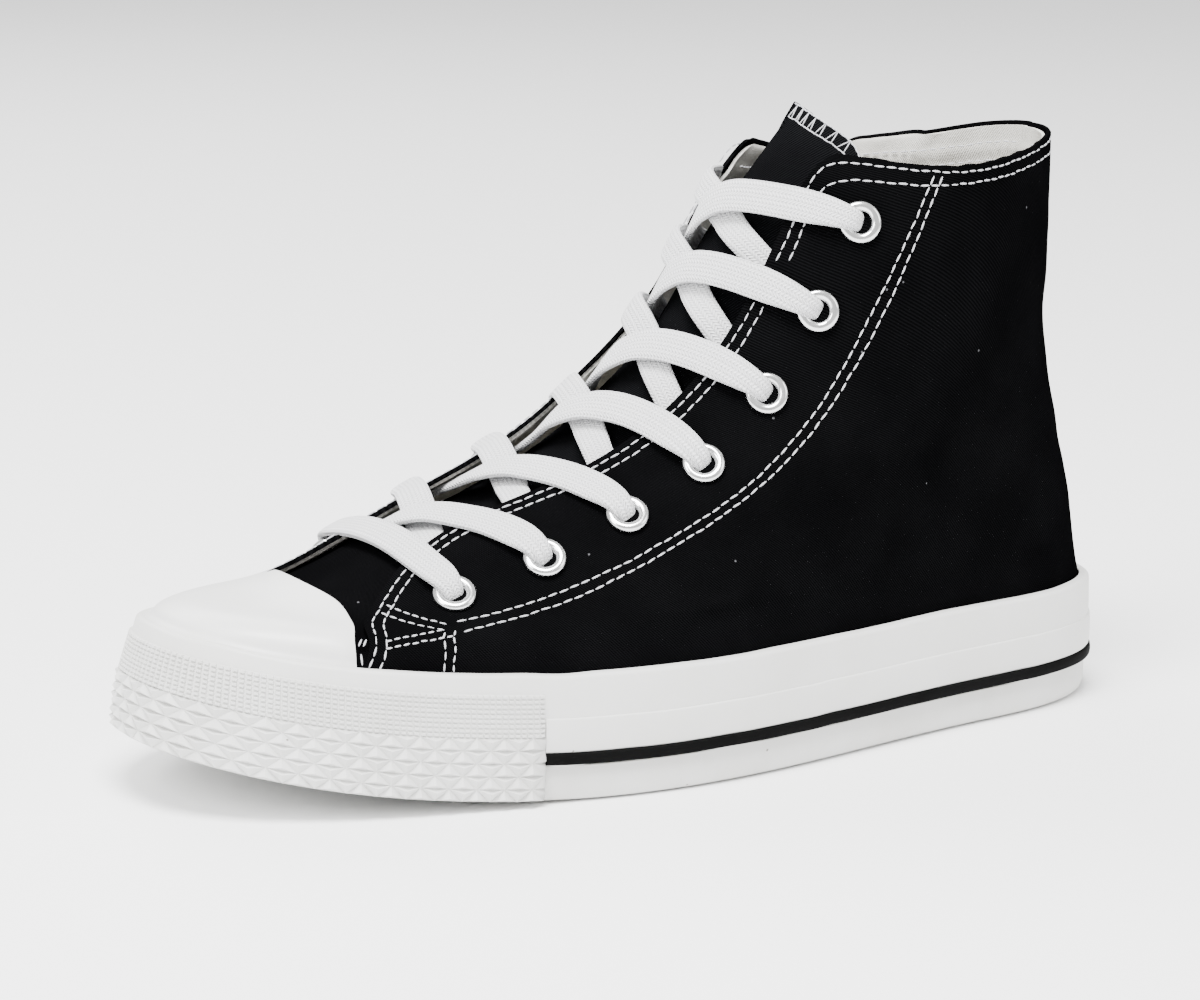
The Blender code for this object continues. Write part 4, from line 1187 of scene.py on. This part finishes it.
SHORT_ROWS = (
    ((0.258, 0.064), (0.228, 0.110), (0.197, 0.154)),
    ((0.236, 0.073), (0.200, 0.120), (0.166, 0.166)),
    ((0.102, 0.133), (0.137, 0.148), (0.171, 0.162)),
    ((0.072, 0.139), (0.106, 0.162), (0.139, 0.184)),
    ((0.161, 0.168), (0.092, 0.188), (0.042, 0.196), (0.000, 0.200)),
    ((0.171, 0.173), (0.093, 0.197), (0.043, 0.204), (0.000, 0.208)),
    ((0.112, 0.112), (0.096, 0.114), (0.072, 0.117)),
    ((0.112, 0.116), (0.092, 0.118), (0.072, 0.121)),
    ((0.052, 0.121), (0.030, 0.125), (0.004, 0.128)),
)


def lining_seams():
    """Two rows of stitches on the lining, along the tape under the collar."""
    for side in (1, -1):
        for level in (0.968, 0.938):
            here, normal = skin_normals(level, side * np.linspace(0.14, 0.998, 90))
            sew(here - normal * 0.0023, -normal, pitch=0.0024)


def sew_row(row, side, start, count):
    """Stitches along one of the listed rows, from a share of its way on."""
    path = table(row, SEAM_COLUMNS, np.linspace(start, 1, count))
    sew_places(path["level"], side * path["place"])


def seams():
    """Rows of stitches along the throat, the collar and the eyestay, on both sides."""
    throat = np.linspace(0.0, 0.80, 60)
    for side in (1, -1):
        for inset, row in zip((0.0019, 0.0044), CORNER_ROWS):
            near = inset - 0.0008 * np.clip(1 - throat / 0.15, 0, 1)
            sew_places(*beside_edge(throat, side, near))
            sew_row(row, side, 0.06, 60)
        for row in STAY_ROWS:
            sew_row(row, side, 0, 50)
        for row in SHORT_ROWS:
            levels, places = np.array(row).T
            sew_places(levels, side * places, pitch=0.0021)


seams()
lining_seams()


def overlock():
    """Long paired threads over the tongue's top edge, with a thread along each side."""
    length = run_length(TONGUE_FACE[:, 30])[-1]
    deep = int(round((len(TONGUE_FACE) - 1) * (1 - 0.0045 / length)))
    way = np.linspace(0, 1, TONGUE_FACE.shape[1])
    fine = np.linspace(0.03, 0.97, 32)
    top, low, up, down = (
        np.stack([np.interp(fine, way, line[:, k]) for k in range(3)], -1)
        for line in (TONGUE_FACE[-1], TONGUE_FACE[deep], TONGUE_NORMAL[-1], TONGUE_NORMAL[deep]))
    high = top - (top - low) * 0.04
    sew(high, up, pitch=0.0014, gap=-0.0004, radius=0.00022)
    sew(low, down, pitch=0.0014, gap=-0.0004, radius=0.00018)
    for k in range(1, 31, 2):
        for foot in (k, k + 1):
            sew(np.array([high[k], low[foot]]), np.array([up[k], down[foot]]),
                pitch=1.0, gap=-0.0003, radius=0.00017)


overlock()
joined_copies("seam_stitches", stitch_prototype(), STITCHES, seam_thread)

# The tread is finished last: it stands for the sole plate
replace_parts(outsole(), "outsole")


# Studio

def stage_floor():
    """White paper just under the shoe."""
    bm = grid_of(1, 1, 6.0)
    bmesh.ops.translate(bm, verts=bm.verts, vec=(0, 0, -0.0002))
    floor = shown("studio_floor", written(bm, "studio_floor"), False)
    floor.data.materials.append(Paint("studio_paper", (0.97, 0.97, 0.97), 0.95).material)


def lamp(name, spot, aim, size, power):
    """A rectangular softbox that looks at a point."""
    light = bpy.data.lights.new(name, 'AREA')
    light.shape = 'RECTANGLE'
    light.size, light.size_y = size
    light.energy = power
    obj = bpy.data.objects.new(name, light)
    obj.location = spot
    obj.rotation_euler = (Vector(aim) - Vector(spot)).to_track_quat('-Z', 'Y').to_euler()
    bpy.context.scene.collection.objects.link(obj)


def studio():
    stage_floor()
    aim = (0.0, 0.0, 0.07)
    lamp("high_softbox", (0.35, 0.40, 1.35), aim, (0.7, 0.6), 62)
    lamp("left_softbox", (1.2, 0.3, 0.9), aim, (0.5, 0.7), 18)
    lamp("right_softbox", (-1.0, 1.1, 0.9), aim, (0.8, 0.9), 9)
    lamp("back_softbox", (0.0, -1.3, 1.2), aim, (1.4, 0.8), 24)
    world = bpy.data.worlds.new("studio_air")
    world.use_nodes = True
    world.node_tree.nodes["Background"].inputs[0].default_value = (1, 1, 1, 1)
    world.node_tree.nodes["Background"].inputs[1].default_value = 1.0
    bpy.context.scene.world = world


def photo_camera():
    """The camera at the photograph's angle, worked out from the sole's outline."""
    azimuth, elevation, roll = math.radians(32.62), math.radians(11.92), math.radians(1.0)
    target = Vector((0.1463, 0.0, 0.0599)) + Vector(SHIFT)
    level_x, level_y = math.sin(azimuth), math.cos(azimuth)
    back = Vector((level_x * math.cos(elevation), level_y * math.cos(elevation),
                   math.sin(elevation)))
    right = Vector((0, 0, 1)).cross(back).normalized()
    up = back.cross(right)
    turned = right * math.cos(roll) + up * math.sin(roll)
    risen = up * math.cos(roll) - right * math.sin(roll)
    data = bpy.data.cameras.new("photo_camera")
    data.sensor_width = 36.0
    data.lens = 123.73
    data.clip_start = 0.01
    obj = bpy.data.objects.new("photo_camera", data)
    turn = Matrix((turned, risen, back)).transposed().to_4x4()
    obj.matrix_world = Matrix.Translation(target + back) @ turn
    bpy.context.scene.collection.objects.link(obj)
    bpy.context.scene.camera = obj


studio()
photo_camera()
